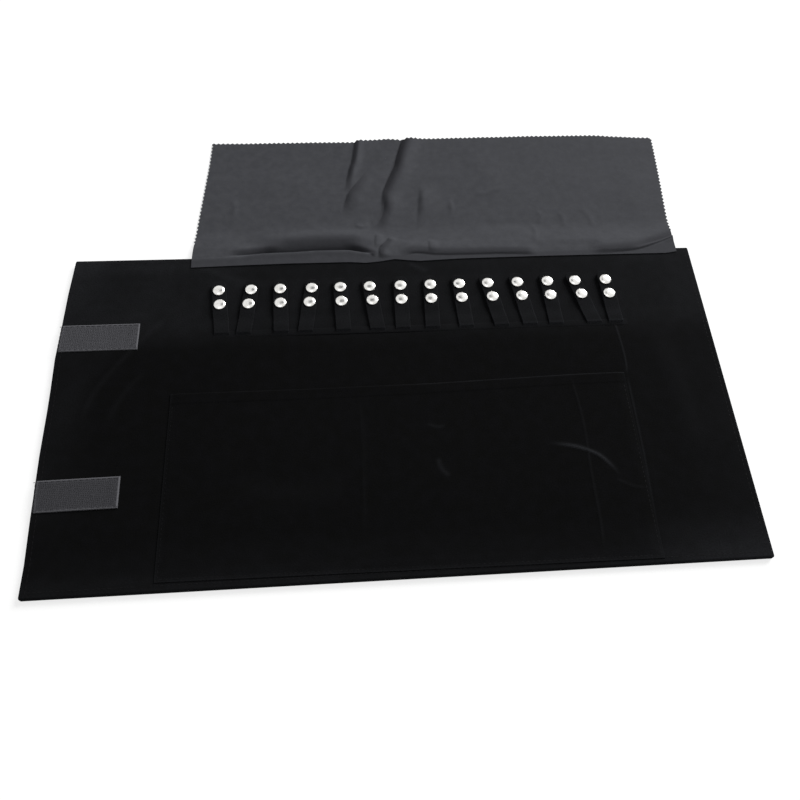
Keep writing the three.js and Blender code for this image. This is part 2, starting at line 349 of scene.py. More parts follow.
@dataclass(frozen=True)
class GrainedLeatherette(Finish):
    """Embossed leatherette: small rounded pebbles between shiny creases, drawn smooth at a bend."""

    pebble_size: float = 1.3
    pebble_depth: float = 0.18
    handled_size: float = 40.0
    handled_gloss: float = 0.03

    def pattern(self, tree: Tree) -> Sockets:
        """Pebbles, and a slow change of gloss from handling.

        Args:
            tree: The node tree.

        Returns:
            The sockets that drive the shader.
        """
        place = {"Vector": add_node(tree, "UVMap", {"uv_map": CLOTH_MAP})["UV"]}
        drawn = add_node(tree, "Attribute", {"attribute_name": NAP})["Fac"]
        settings = {"feature": "DISTANCE_TO_EDGE", "Scale": per_metre(self.pebble_size)}
        cells = add_node(tree, "TexVoronoi", settings, place)["Distance"]
        span = {**EASED, "From Min": 0.0, "From Max": 0.35}
        domes = add_node(tree, "MapRange", span, {"Value": cells})["Result"]
        links = {0: domes, 1: drawn}
        pebbles = add_node(tree, "Math", {"operation": "MAXIMUM"}, links)["Value"]
        mix = add_node(tree, "Mix", self.both_colours(), {MIX_SHARE: pebbles})
        colour = mix[MIX_COLOUR]
        grain = {"Scale": per_metre(self.handled_size), "Detail": 3.0, **NOISE_ROUGHNESS}
        handled = add_node(tree, "TexNoise", grain, place)["Fac"]
        low, high = self.roughness - self.handled_gloss, self.roughness + self.handled_gloss
        span = {**EASED, "From Min": 0.3, "From Max": 0.7, "To Min": low, "To Max": high}
        gloss = add_node(tree, "MapRange", span, {"Value": handled})["Result"]
        depth = {"Distance": self.pebble_depth * MM, "Strength": 0.55}
        bump = add_node(tree, "Bump", depth, {"Height": pebbles})["Normal"]
        return {"Base Color": colour, "Roughness": gloss, "Normal": bump}


@dataclass(frozen=True)
class WovenTape(Finish):
    """Woven nylon tape: close ribs across its length, with a slight shine on each."""

    # The ribs are near 0.6 mm apart, and are drawn at twice that so that they show.
    rib_spacing: float = 1.2
    rib_depth: float = 0.15
    fibre_size: float = 0.9
    fibre_depth: float = 0.1
    # The woven border's paler tone, partly a painted highlight.
    selvage_and_highlight_colour: str = "#5e5e62"

    def pattern(self, tree: Tree) -> Sockets:
        """Ribs, loose fibres and the paler selvage, partly a painted highlight.

        Args:
            tree: The node tree.

        Returns:
            The sockets that drive the shader.
        """
        place = {"Vector": add_node(tree, "UVMap", {"uv_map": CLOTH_MAP})["UV"]}
        selvage = add_node(tree, "Attribute", {"attribute_name": NAP})["Fac"]
        spacing = {"Scale": per_metre(self.rib_spacing) / WAVES_PER_SCALE, "Distortion": 0.6}
        ribs = add_node(tree, "TexWave", {"bands_direction": "X", **spacing}, place)["Fac"]
        grain = {"Scale": per_metre(self.fibre_size), "Detail": 4.0, **NOISE_ROUGHNESS}
        fibres = add_node(tree, "TexNoise", grain, place)["Fac"]
        weave = add_node(tree, "Math", {"operation": "MULTIPLY"}, {0: ribs, 1: fibres})
        share = weave["Value"]
        woven = add_node(tree, "Mix", self.both_colours(), {MIX_SHARE: share})[MIX_COLOUR]
        settings = {**COLOUR_MIX, MIX_SECOND: linear(self.selvage_and_highlight_colour)}
        links = {MIX_SHARE: selvage, MIX_FIRST: woven}
        colour = add_node(tree, "Mix", settings, links)[MIX_COLOUR]
        span = {**EASED, "From Min": 0.3, "From Max": 0.7, "To Min": 0.6, "To Max": 0.85}
        dull = add_node(tree, "MapRange", span, {"Value": fibres})["Result"]
        depth = {"Distance": self.rib_depth * MM, "Strength": 0.4}
        ribbed = add_node(tree, "Bump", depth, {"Height": ribs})["Normal"]
        depth = {"Distance": self.fibre_depth * MM, "Strength": 0.3}
        bump = add_node(tree, "Bump", depth, {"Height": fibres, "Normal": ribbed})["Normal"]
        return {"Base Color": colour, "Roughness": dull, "Normal": bump}


@dataclass(frozen=True)
class PolishedNickel(Finish):
    """Nickel plate on pressed brass, polished, with faint wear from fingers."""

    smear_size: float = 2.5
    smear_dulling: float = 0.12

    def pattern(self, tree: Tree) -> Sockets:
        """Smears that dull the shine and a slight warm tint in them.

        Args:
            tree: The node tree.

        Returns:
            The sockets that drive the shader.
        """
        place = {"Vector": add_node(tree, "TexCoord")["Object"]}
        grain = {"Scale": per_metre(self.smear_size), "Detail": 4.0, **NOISE_ROUGHNESS}
        smears = add_node(tree, "TexNoise", grain, place)["Fac"]
        span = {**EASED, "From Min": 0.4, "From Max": 0.75}
        tint = add_node(tree, "MapRange", span, {"Value": smears})["Result"]
        colour = add_node(tree, "Mix", self.both_colours(), {MIX_SHARE: tint})[MIX_COLOUR]
        shine = {"To Min": self.roughness, "To Max": self.roughness + self.smear_dulling}
        span = {**EASED, "From Min": 0.3, "From Max": 0.75, **shine}
        gloss = add_node(tree, "MapRange", span, {"Value": smears})["Result"]
        return {"Base Color": colour, "Roughness": gloss}


@dataclass(frozen=True)
class TwistedThread(Finish):
    """Polyester sewing thread: two plies twisted together, with a soft shine."""

    ply_spacing: float = 0.5
    ply_depth: float = 0.06

    def pattern(self, tree: Tree) -> Sockets:
        """The slanting plies.

        Args:
            tree: The node tree.

        Returns:
            The sockets that drive the shader.
        """
        place = {"Vector": add_node(tree, "TexCoord")["Object"]}
        spacing = {"Scale": per_metre(self.ply_spacing) / WAVES_PER_SCALE}
        twist = add_node(tree, "TexWave", {"bands_direction": "DIAGONAL", **spacing}, place)
        plies = twist["Fac"]
        colour = add_node(tree, "Mix", self.both_colours(), {MIX_SHARE: plies})[MIX_COLOUR]
        depth = {"Distance": self.ply_depth * MM, "Strength": 0.4}
        bump = add_node(tree, "Bump", depth, {"Height": plies})["Normal"]
        return {"Base Color": colour, "Normal": bump}


# Upright pile swallows light, so the velvet is nearly black; charcoal shows where the pile is crushed, and as
# painted sheen and painted light over shade.
VELVET = CutPileVelvet(
    "black_cut_pile_velvet", Slot.VELVET, "#0c0c0c", "#0e0e0f", 0.92,
    specular=0.02, sheen=0.012, sheen_colour="#a8abb4",
)
# The raised nap scatters light evenly: a flat bluish charcoal, darker where it is pressed down, and with
# painted shade on its hem and on the steep sides of its rolls.
FLAP_CLOTH = BrushedCloth(
    "charcoal_brushed_cotton", Slot.FLAP_CLOTH, "#424347", "#4a4b4f", 0.9,
    specular=0.1, sheen=0.02, sheen_colour="#b8bcc4",
)
# Its plastic skin has a low, broken shine over a black ground.
LEATHERETTE = GrainedLeatherette(
    "black_embossed_leatherette", Slot.LEATHERETTE, "#0d0d0f", "#1b1b1e", 0.5, specular=0.45
)
# Nylon ribs give a dull grey with a paler woven border, partly a painted highlight. The lower tape is a
# darker copy: painted shade.
UPPER_HOOK_TAPE = WovenTape("grey_woven_hook_tape", Slot.HOOK_TAPE, "#434346", "#5e5e64", 0.7, specular=0.2)
SHADED_LOWER_HOOK_TAPE = WovenTape(
    "shaded_grey_woven_hook_tape", Slot.HOOK_TAPE, "#363639", "#4d4d52", 0.7, specular=0.2
)
# Napped loops stay dull and black from every side.
LOOP_TAPE = WovenTape(
    "black_napped_loop_tape", Slot.LOOP_TAPE, "#161618", "#252528", 0.85,
    specular=0.2, sheen=0.1, selvage_and_highlight_colour="#2a2a2d",
)
# Polished plate mirrors the white surround, so the caps are the brightest spots.
NICKEL = PolishedNickel("polished_nickel_plate", Slot.NICKEL, "#e9e8e5", "#d2d0cb", 0.14, metallic=1.0)
# Thread shows as fine dashes, a little shinier than the cloth that it is sewn in.
BLACK_THREAD = TwistedThread("black_twisted_thread", Slot.VELVET, "#0b0b0c", "#101012", 0.7, specular=0.1)
GREY_THREAD = TwistedThread("charcoal_twisted_thread", Slot.VELVET, "#38383b", "#4c4c50", 0.7, specular=0.1)


def new_piece(
    name: str,
    vertices: Array,
    faces: Sequence[Sequence[int]],
    finish: Finish,
    nap: Array | None = None,
    cloth: Array | None = None,
) -> Piece:
    """Makes a smooth mesh object from points in millimetres.

    Args:
        name: The piece's name.
        vertices: One row of x, y, z for each vertex.
        faces: The vertex numbers of each face.
        finish: The finish that it wears.
        nap: How crushed the pile is at each vertex, from 0 to 1.
        cloth: The place of each vertex on the cut cloth, or None where that is its x and y.

    Returns:
        The new object, riding on nothing yet.
    """
    mesh = bpy.data.meshes.new(name)
    mesh.from_pydata((vertices * MM).tolist(), [], [list(face) for face in faces])
    corners = np.zeros(len(mesh.loops), np.int32)
    mesh.loops.foreach_get("vertex_index", corners)
    flat = (vertices[:, :2] if cloth is None else cloth) * MM
    mesh.uv_layers.new(name=CLOTH_MAP).uv.foreach_set("vector", flat[corners].astype(np.float32).ravel())
    if nap is not None:
        mesh.attributes.new(NAP, "FLOAT", "POINT").data.foreach_set("value", nap.astype(np.float32))
    mesh.materials.append(finish.material())
    mesh.shade_smooth()
    mesh.set_sharp_from_angle(angle=SHARP_EDGE)
    piece = bpy.data.objects.new(name, mesh)
    bpy.context.scene.collection.objects.link(piece)
    return piece


def points(*axes: Array | float) -> Array:
    """Joins coordinates into points by row and column."""
    return np.stack(np.broadcast_arrays(*axes), axis=2)


def slab_faces(rows: int, columns: int) -> Array:
    """The faces of a closed slab whose top grid comes before its bottom grid.

    Args:
        rows: Points along Y.
        columns: Points along X.

    Returns:
        Four vertex numbers for each face.
    """
    top = np.arange(rows * columns).reshape(rows, columns)
    low = top + rows * columns

    def quads(*corners: Array) -> Array:
        """Joins four grids of corners into one row for each face."""
        return np.stack([c.ravel() for c in corners], axis=1)

    return np.concatenate(
        [
            quads(top[:-1, :-1], top[:-1, 1:], top[1:, 1:], top[1:, :-1]),
            quads(low[:-1, :-1], low[1:, :-1], low[1:, 1:], low[:-1, 1:]),
            quads(low[0, :-1], low[0, 1:], top[0, 1:], top[0, :-1]),
            quads(low[-1, 1:], low[-1, :-1], top[-1, :-1], top[-1, 1:]),
            quads(low[1:, 0], low[:-1, 0], top[:-1, 0], top[1:, 0]),
            quads(low[:-1, -1], low[1:, -1], top[1:, -1], top[:-1, -1]),
        ]
    )


def slab(
    name: str,
    top: Array,
    bottom: Array,
    finish: Finish,
    nap: Array | None = None,
    cloth: Array | None = None,
) -> Piece:
    """Makes a closed sheet from a top grid and a bottom grid of points.

    Args:
        name: The piece's name.
        top: Points by row, column and axis.
        bottom: The points below them.
        finish: The finish that it wears.
        nap: How crushed the pile is, by row and column.
        cloth: Places on the cut cloth, by row, column and axis.

    Returns:
        The new object.
    """
    rows, columns = top.shape[:2]
    vertices = np.concatenate([top.reshape(-1, 3), bottom.reshape(-1, 3)])
    worn = None if nap is None else np.tile(nap.ravel(), 2)
    flat = None if cloth is None else np.tile(cloth.reshape(-1, 2), (2, 1))
    return new_piece(name, vertices, slab_faces(rows, columns), finish, worn, flat)


def joined(shapes: Sequence[Shape]) -> Shape:
    """Joins closed shapes into one.

    Args:
        shapes: Their vertices and faces.

    Returns:
        The vertices and faces of all of them.
    """
    starts = accumulate((len(vertices) for vertices, _ in shapes), initial=0)
    faces = [[i + start for i in face] for (_, own), start in zip(shapes, starts) for face in own]
    return np.concatenate([vertices for vertices, _ in shapes]), faces


def turned(profile: Path, sides: int) -> Shape:
    """Turns a profile about the Z axis.

    Args:
        profile: Radius and height of each point, from the axis round to the axis, anticlockwise.
        sides: Points in each ring.

    Returns:
        The vertices and faces of the closed shape.
    """
    angles = np.linspace(0, 2 * math.pi, sides, endpoint=False)
    vertices, rings = [], []
    for radius, height in profile:
        start = len(vertices)
        if radius == 0:
            vertices.append((0.0, 0.0, height))
            rings.append([start] * sides)
        else:
            vertices.extend((radius * math.cos(a), radius * math.sin(a), height) for a in angles)
            rings.append(list(range(start, start + sides)))
    faces = []
    for low, high in zip(rings, rings[1:]):
        for i in range(sides):
            j = (i + 1) % sides
            face = list(dict.fromkeys((low[i], low[j], high[j], high[i])))
            if len(face) > 2:
                faces.append(face)
    return np.array(vertices), faces


def tube(path: Array, radius: float, sides: int) -> Shape:
    """Runs a round section along a path in the XZ plane, with closed ends.

    Args:
        path: The points of its middle line.
        radius: The section's radius.
        sides: The section's sides.

    Returns:
        The vertices and faces.
    """
    ways = np.gradient(path, axis=0)
    ways /= np.linalg.norm(ways, axis=1)[:, None]
    across = np.array([0.0, 1.0, 0.0])
    angles = np.linspace(0, 2 * math.pi, sides, endpoint=False)
    level, upright = np.cos(angles)[:, None] * across, np.sin(angles)[:, None]
    rings = [point + radius * (level + upright * np.cross(way, across)) for point, way in zip(path, ways)]
    last = (len(path) - 1) * sides
    faces = [
        [start + i, start + (i + 1) % sides, start + sides + (i + 1) % sides, start + sides + i]
        for start in range(0, last, sides)
        for i in range(sides)
    ]
    ends = [list(reversed(range(sides))), list(range(last, last + sides))]
    return np.concatenate(rings), faces + ends


def scattered(shape: Shape, places: Array, headings: Array | float = 0.0) -> Shape:
    """Copies a shape to many places, turned about Z.

    Args:
        shape: Its vertices and faces.
        places: One x, y, z row for each copy.
        headings: One angle for each copy, or one for all.

    Returns:
        The vertices and faces of all copies.
    """
    vertices, faces = shape
    turns = np.broadcast_to(headings, len(places))[:, None]
    cos, sin = np.cos(turns), np.sin(turns)
    x = vertices[:, 0] * cos - vertices[:, 1] * sin
    y = vertices[:, 0] * sin + vertices[:, 1] * cos
    z = np.broadcast_to(vertices[:, 2], x.shape)
    copies = points(x, y, z) + places[:, None, :]
    step = len(vertices)
    starts = range(0, step * len(places), step)
    return copies.reshape(-1, 3), [[i + start for i in face] for start in starts for face in faces]


def spaced(left: float, right: float, step: float, dense: Dense = ()) -> Array:
    """Grid lines from one end to the other, closer together where asked.

    Args:
        left: The first line.
        right: The last line.
        step: The usual spacing.
        dense: Stretches of closer lines.

    Returns:
        The sorted lines.
    """
    lines = np.linspace(left, right, max(2, round((right - left) / step) + 1))
    for start, end, close in dense:
        start, end = max(left, start), min(right, end)
        if end > start:
            inside = (lines > start - close) & (lines < end + close) & (lines > left) & (lines < right)
            added = np.linspace(start, end, max(2, round((end - start) / close) + 1))
            lines = np.concatenate([lines[~inside], added])
    return np.unique(np.round(lines, 4))


def rounded_path(path: Path, steps: int = 8) -> Array:
    """A smooth curve through a few points.

    Args:
        path: The points, in order.
        steps: Steps between two of them.

    Returns:
        The curve's points.
    """
    given = np.array(path, float)
    padded = np.concatenate([2 * given[:1] - given[1:2], given, 2 * given[-1:] - given[-2:-1]])
    shares = np.linspace(0, 1, steps, endpoint=False)[:, None]
    curve = []
    for before, here, there, after in zip(padded, padded[1:], padded[2:], padded[3:]):
        curve.append(
            here
            + shares * (there - before) / 2
            + shares**2 * (before - 2.5 * here + 2 * there - after / 2)
            + shares**3 * (1.5 * (here - there) + (after - before) / 2)
        )
    return np.concatenate([*curve, given[-1:]])


# The nap of a roll ends over this share of its width, outside its foot.
FOOT_FADE = 0.12


@dataclass(frozen=True)
class Crease:
    """A ridge or valley in cloth, along a path, which fades at its ends."""

    path: Path
    height: float
    width: float
    nap: float = 0.0
    # How much wider the side left of the path is than the other.
    lean: float = 1.0
    # The shares of its length over which it rises at its start and sinks at its end.
    fade: float = 0.2
    sink: float | None = None
    # A roll rises steeply, from a sharp foot right of the path.
    # At 1 that side is straight, and at 2 it is a quarter ellipse.
    roll: float | None = None

    def at(self, x: Array, y: Array) -> Pair:
        """What the crease does to a cloth.

        Args:
            x, y: Places along and across the roll.

        Returns:
            Its height and its nap at each place: crushed pile on the velvet, painted shade on a roll's steep
                side on the flap.
        """
        curve = rounded_path(self.path)
        best = np.full(x.shape, np.inf)
        side, along = np.zeros(x.shape), np.zeros(x.shape)
        steps = np.diff(curve, axis=0)
        lengths = np.linalg.norm(steps, axis=1)
        starts = np.concatenate([[0], np.cumsum(lengths)])
        for start, step, length, done in zip(curve, steps, lengths, starts):
            dx, dy = x - start[0], y - start[1]
            t = np.clip((dx * step[0] + dy * step[1]) / length**2, 0, 1)
            away = np.hypot(dx - t * step[0], dy - t * step[1])
            nearer = away < best
            best = np.where(nearer, away, best)
            side = np.where(nearer, np.sign(step[0] * dy - step[1] * dx), side)
            along = np.where(nearer, (done + t * length) / starts[-1], along)
        away = best / np.where(side > 0, self.width * self.lean, self.width)
        share = crushed_and_shade = np.exp(-(away**2))
        # On a roll the nap covers its steep side: on the flap that is painted shade.
        if self.roll:
            share = np.where(side > 0, share, np.clip(1 - away**self.roll, 0, 1) ** (1 / self.roll))
            crushed_and_shade = np.where(side > 0, share**8, smooth((1 - away) / FOOT_FADE + 1))
        ends = smooth(along / self.fade) * smooth((1 - along) / (self.sink or self.fade))
        return self.height * share * ends, self.nap * crushed_and_shade * ends


def soft_noise(seed: int, cell: float, x: Array, y: Array) -> Array:
    """Repeatable soft noise over the plane, about from -1 to 1.

    Args:
        seed: The same seed gives the same noise.
        cell: The distance between two of its drawn values.
        x, y: Places along and across the roll.

    Returns:
        The noise at each place.
    """
    size = 64
    values = np.random.default_rng(seed).uniform(-1, 1, (size, size))
    # Every place on the roll is more than 0 once this many cells are added.
    u, v = x / cell + 1000, y / cell + 1000
    i, j = np.floor(u).astype(int), np.floor(v).astype(int)
    s, t = smooth(u - i), smooth(v - j)

    def at(k: int, m: int) -> Array:
        """The drawn values at one corner of each place's cell."""
        return values[(i + k) % size, (j + m) % size]

    near = at(0, 0) * (1 - s) + at(1, 0) * s
    far = at(0, 1) * (1 - s) + at(1, 1) * s
    return near * (1 - t) + far * t


def creased(creases: Sequence[Crease], x: Array, y: Array) -> Pair:
    """The height and the crushed nap that a set of creases gives at each place."""
    heights, naps = zip(*(crease.at(x, y) for crease in creases))
    return sum(heights), np.maximum.reduce(naps)


def dented(dents: Dents, x: Array, y: Array) -> Array:
    """The height of soft dents at each place."""
    return sum(height * soft_noise(seed, size, x, y) for seed, size, height in dents)


@dataclass(frozen=True)
class PaintedSheenPatch:
    """Painted sheen and painted light on the pile: paler past one or more lines along or across the panel.

    Each line has its place, and the width over which the patch fades in. Below 0 it runs the other way.
    """

    nap: float
    along: Path = ()
    across: Path = ()

    def at(self, x: Array, y: Array) -> Array:
        """The nap at each place."""
        lines = [(x, *line) for line in self.along] + [(y, *line) for line in self.across]
        return self.nap * np.prod([smooth((value - place) / width) for value, place, width in lines], axis=0)


REAR, REAR_EDGE, LEFT_END = (42, 32), (112, 12), (-90, -60)
# Painted sheen: the pile is paler towards the rear, at both ends, along the front edge and at the front right
# corner.
PAINTED_SHEEN_PATCHES = (
    PaintedSheenPatch(0.27, across=(REAR,)),
    PaintedSheenPatch(0.1, (LEFT_END,), (REAR,)),
    PaintedSheenPatch(0.04, across=(REAR_EDGE,)),
    PaintedSheenPatch(0.16, (LEFT_END,), (REAR_EDGE,)),
    PaintedSheenPatch(0.08, ((150, 60),), (REAR_EDGE,)),
    PaintedSheenPatch(0.15, ((-205, -35),), ((-110, 60),)),
    PaintedSheenPatch(0.04, ((165, 20),)),
    PaintedSheenPatch(0.09, ((195, 45),)),
    PaintedSheenPatch(0.07, across=((-95, -20),)),
    PaintedSheenPatch(0.14, across=((-116, -10),)),
    # Painted light over the straps' row, which offsets their shadows.
    PaintedSheenPatch(0.05, ((-146, 8), (184, -8)), ((56, 6), (112, -6))),
    PaintedSheenPatch(0.26, ((130, 80),), ((-90, -35),)),
)
PLAIN_PILE = 0.03
PILE_CLOUDS: Dents = ((13, 26, 0.15), (14, 4, 0.12))


def pile_and_painted_sheen(x: Array, y: Array) -> Array:
    """How far the velvet is drawn paler at each place, from 0 to 1: painted sheen and painted light, in
    uneven clouds.
    """
    nap = PLAIN_PILE + sum(patch.at(x, y) for patch in PAINTED_SHEEN_PATCHES)
    return nap * (1 - PILE_CLOUDS[0][2] + dented(PILE_CLOUDS, x, y))


@dataclass
class Layout:
    """Places read from the frame, in millimetres."""

    left: float
    right: float
    front: float
    rear: float
    top: float
    folds: dict[Section, float]
    boxes: dict[str, tuple[Vector, Vector]]

    @classmethod
    def read(cls, nodes: dict[str, Piece]) -> "Layout":
        """Reads the sections' edges and every node's box.

        Args:
            nodes: The CAD nodes by name.

        Returns:
            The layout.
        """
        boxes = {}
        for node in nodes:
            low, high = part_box(node)
            boxes[node] = (low / MM, high / MM)
        order = list(Section)
        faces = [boxes[f"{s.value}_face"] for s in order]
        folds = {s: (here[1].x + there[0].x) / 2 for s, here, there in zip(order, faces, faces[1:])}
        first, last = faces[0], faces[-1]
        return cls(first[0].x, last[1].x, first[0].y, first[1].y, first[1].z, folds, boxes)

    def whole(self, node: str) -> tuple[Vector, Vector]:
        """The box of a row of nodes, from the base section's to the inner section's."""
        return self.boxes[f"base_{node}"][0], self.boxes[f"inner_{node}"][1]

    def middle_of(self, section: Section) -> float:
        """The middle of a section along the roll, where two pieces of cloth meet unseen."""
        low, high = self.boxes[f"{section.value}_face"]
        return (low.x + high.x) / 2

    def held_by(self, section: Section) -> tuple[float, float]:
        """The section's two edges along the roll."""
        order = list(Section)
        number = order.index(section)
        left = self.left if number == 0 else self.folds[order[number - 1]]
        right = self.right if number == len(order) - 1 else self.folds[section]
        return left, right


@dataclass
class FoldedStrip:
    """A stretch of cloth that crosses one fold line, with close grid lines there."""

    name: str
    first: Section
    second: Section
    left: float
    right: float
    nodes: tuple[str, ...]

    # Half the width of the bend at a fold line.
    bend: float = 3.0
    bend_step: float = 0.4

    def columns(self, layout: Layout, step: float, dense: Dense = ()) -> Array:
        """Grid lines across the stretch, close together at its fold.

        Args:
            layout: The places in the frame.
            step: The usual spacing.
            dense: More stretches of close lines.

        Returns:
            The lines.
        """
        fold = layout.folds[self.first]
        reach = self.bend + self.bend_step
        return spaced(self.left, self.right, step, [*dense, (fold - reach, fold + reach, self.bend_step)])

    def join(self, piece: Piece, layout: Layout) -> None:
        """Fixes the piece's place into its mesh, and hides the CAD nodes that it stands in for.

        Args:
            piece: The finished mesh.
            layout: The places in the frame. Not used.
        """
        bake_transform(piece)
        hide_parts(*self.nodes)


def stretches(layout: Layout, kind: str, first: Section, *layers: str) -> list[FoldedStrip]:
    """Cuts a layer of cloth in the middle of each section between its two ends.

    Args:
        layout: The places in the frame.
        kind: The layer's name.
        first: The section at its left end.
        layers: The endings of the CAD nodes that it stands for.

    Returns:
        The stretches from left to right.
    """
    held = list(Section)[list(Section).index(first) :]
    left = layout.boxes[f"{first.value}_{layers[0]}"][0].x
    right = layout.boxes[f"{held[-1].value}_{layers[0]}"][1].x
    cuts = [left, *(layout.middle_of(section) for section in held[1:-1]), right]
    # The last stretch also stands for the nodes of the last section.
    owners = [*((section,) for section in held[:-2]), tuple(held[-2:])]
    places = ("left", "centre", "right")[-len(owners) :]
    strips = []
    for i, (place, owner) in enumerate(zip(places, owners)):
        nodes = tuple(f"{section.value}_{layer}" for section in owner for layer in layers)
        strips.append(FoldedStrip(f"{kind}_{place}", held[i], held[i + 1], cuts[i], cuts[i + 1], nodes))
    return strips


def rolled(distance: Array, radius: float) -> Array:
    """How far a rounded edge falls away at a distance from it."""
    inward = np.clip(radius - distance, 0, radius)
    return radius - np.sqrt(radius**2 - inward**2)


def plateau(value: Array, low: float, high: float, fade: float) -> Array:
    """A mask that is 1 from low to high, and fades to 0 inside both."""
    return smooth((value - low) / fade) * smooth((high - value) / fade)


@dataclass
class Panel:
    """The padded velvet panel and its leatherette back, each cut where no fold shows the cut."""

    layout: Layout
    grid_step: float = 1.7
    corner_radius: float = 1.8
    edge_roll: float = 1.6
    back_roll: float = 0.9
    velvet_underside: float = 1.3
    back_top: float = 1.2
    loop_recess: float = 0.8
    recess_gap: float = 0.3
    # How far the photographed corners lie from square: rear left, rear right, front right, front left.
    corner_shifts: tuple[tuple[float, float], ...] = ((1.6, 1.6), (2.0, -1.0), (0.4, 2.0), (-1.3, -1.8))
    # How far the left edge bows out along y, read from the photograph.
    left_bow: Path = (
        (-110, 0.0), (-80, -1.4), (-57, -2.2), (-34, -3.0), (0, -3.3), (17, -3.7),
        (43, -4.7), (70, -4.0), (101, -3.6), (116, -2.9), (132, -2.2),
    )
    # How far from the left edge the bow dies out.
    bow_reach: float = 50.0
    edge_steps: tuple[float, ...] = (0.0, 0.2, 0.5, 0.9, 1.5, 2.2, 3.4)
    face_creases: tuple[Crease, ...] = (
        Crease(((168, 74), (171, 58), (173, 30), (172, 12)), 0.3, 0.75, 0.38, fade=0.12),
        Crease(((172, 14), (172, -41), (171, -79), (169, -122)), 0.3, 0.7, 0.3, fade=0.1),
        Crease(((-174, 100), (-206, 58), (-230, 12), (-238, -34)), 0.4, 9.0, 0.07),
        Crease(((-165, 84), (-194, 49), (-215, 15), (-224, -18)), 0.4, 2.2, 0.12),
        Crease(((-182, 30), (-196, 12), (-206, -14)), 0.3, 2.0, 0.08),
        Crease(((-150, 122), (-120, 108), (-96, 104)), 0.3, 3.0, 0.12),
        Crease(((14, 122), (24, 116), (30, 112)), 0.3, 2.0, 0.24),
        Crease(((196, 60), (208, 10), (212, -60)), 0.4, 9.0, 0.08),
    )
    crease_columns: Dense = ((166.0, 175.0, 0.5),)
    dents: Dents = ((11, 62, 0.3), (12, 19, 0.1))

    def laid(self, x: Array, y: Array) -> Pair:
        """Where a place on the square panel lies, with its corners rounded and pulled as photographed.

        Args:
            x, y: Places along and across the roll.

        Returns:
            The new x and y.
        """
        half_x = (self.layout.right - self.layout.left) / 2
        half_y = (self.layout.rear - self.layout.front) / 2
        r = self.corner_radius
        u = np.clip((np.abs(x) - half_x + r) / r, 0, 1)
        v = np.clip((np.abs(y) - half_y + r) / r, 0, 1)
        round_x = np.sign(x) * r * u * (np.sqrt(1 - v * v / 2) - 1)
        round_y = np.sign(y) * r * v * (np.sqrt(1 - u * u / 2) - 1)
        across = (x / half_x + 1) / 2
        up = (y / half_y + 1) / 2
        rear_left, rear_right, front_right, front_left = np.array(self.corner_shifts)
        pull = (
            np.multiply.outer((1 - across) * up, rear_left)
            + np.multiply.outer(across * up, rear_right)
            + np.multiply.outer(across * (1 - up), front_right)
            + np.multiply.outer((1 - across) * (1 - up), front_left)
        )
        return x + round_x + pull[..., 0] + self.bowed(x, y), y + round_y + pull[..., 1]

    def bowed(self, x: Array, y: Array) -> Array:
        """How far each place moves with the bowed left edge."""
        at, shift = np.array(self.left_bow).T
        return np.interp(y, at, shift) * smooth((self.layout.left + self.bow_reach - x) / self.bow_reach)

    def edge_distance(self, x: Array, y: Array) -> Array:
        """How far each place is from the panel's nearest edge."""
        sides = (x - self.layout.left, self.layout.right - x, y - self.layout.front, self.layout.rear - y)
        return np.minimum.reduce(sides)

    def relief(self, x: Array, y: Array) -> Pair:
        """The velvet's soft unevenness, and its nap: crushed pile with painted sheen and painted light.

        Args:
            x, y: Places along and across the roll.

        Returns:
            The height above the flat panel, and the nap.
        """
        height, nap = creased(self.face_creases, x, y)
        height = height + dented(self.dents, x, y)
        low, high = self.layout.whole("pocket")
        under = plateau(x, low.x - 8, high.x + 8, 6) * plateau(y, low.y - 5, high.y + 7, 4)
        studs = self.layout.whole("snap_studs")
        flat_row = plateau(y, studs[0].y - 6, studs[1].y + 6, 6)
        rear_hem = smooth((y - self.layout.rear + 12) / 5)
        height = height * (1 - under) * (1 - 0.8 * flat_row) * (1 - rear_hem)
        height = height * smooth(self.edge_distance(x, y) / 9)
        # Painted sheen along the panel's rolled edges.
        rim = np.exp(-((self.edge_distance(x, y) / 1.6) ** 2)) * 0.2
        return height, np.clip(np.maximum(nap, rim) + pile_and_painted_sheen(x, y), 0, 1)

    def grid(self, strip: FoldedStrip, extra: Dense = (), rows: Sequence[float] = ()) -> Pair:
        """The places of a stretch's grid, close together at the panel's edges.

        Args:
            strip: The stretch.
            extra: More stretches of close columns.
            rows: More rows.

        Returns:
            x and y by row and column.
        """
        steps = np.array(self.edge_steps)
        columns = strip.columns(self.layout, self.grid_step, extra)
        ends = np.concatenate([self.layout.left + steps, self.layout.right - steps])
        columns = np.concatenate([columns, ends[(ends > strip.left) & (ends < strip.right)]])
        lines = spaced(self.layout.front, self.layout.rear, self.grid_step)
        edges = np.concatenate([self.layout.front + steps, self.layout.rear - steps])
        lines = np.concatenate([lines, edges, np.array(rows, float)])
        return np.meshgrid(np.unique(np.round(columns, 3)), np.unique(np.round(lines, 3)))

    def build_velvet(self) -> None:
        """Makes the velvet face, rolled over its edges, with the padding under it."""
        for strip in stretches(self.layout, "velvet", Section.CLOSING, "face", "padding"):
            x, y = self.grid(strip, self.crease_columns)
            height, nap = self.relief(x, y)
            lay_x, lay_y = self.laid(x, y)
            z = self.layout.top + height - rolled(self.edge_distance(x, y), self.edge_roll)
            top = points(lay_x, lay_y, z)
            bottom = points(lay_x, lay_y, self.velvet_underside)
            piece = slab(strip.name, top, bottom, VELVET, nap, points(x, y))
            strip.join(piece, self.layout)
            LOG.info("made %s", piece.name)

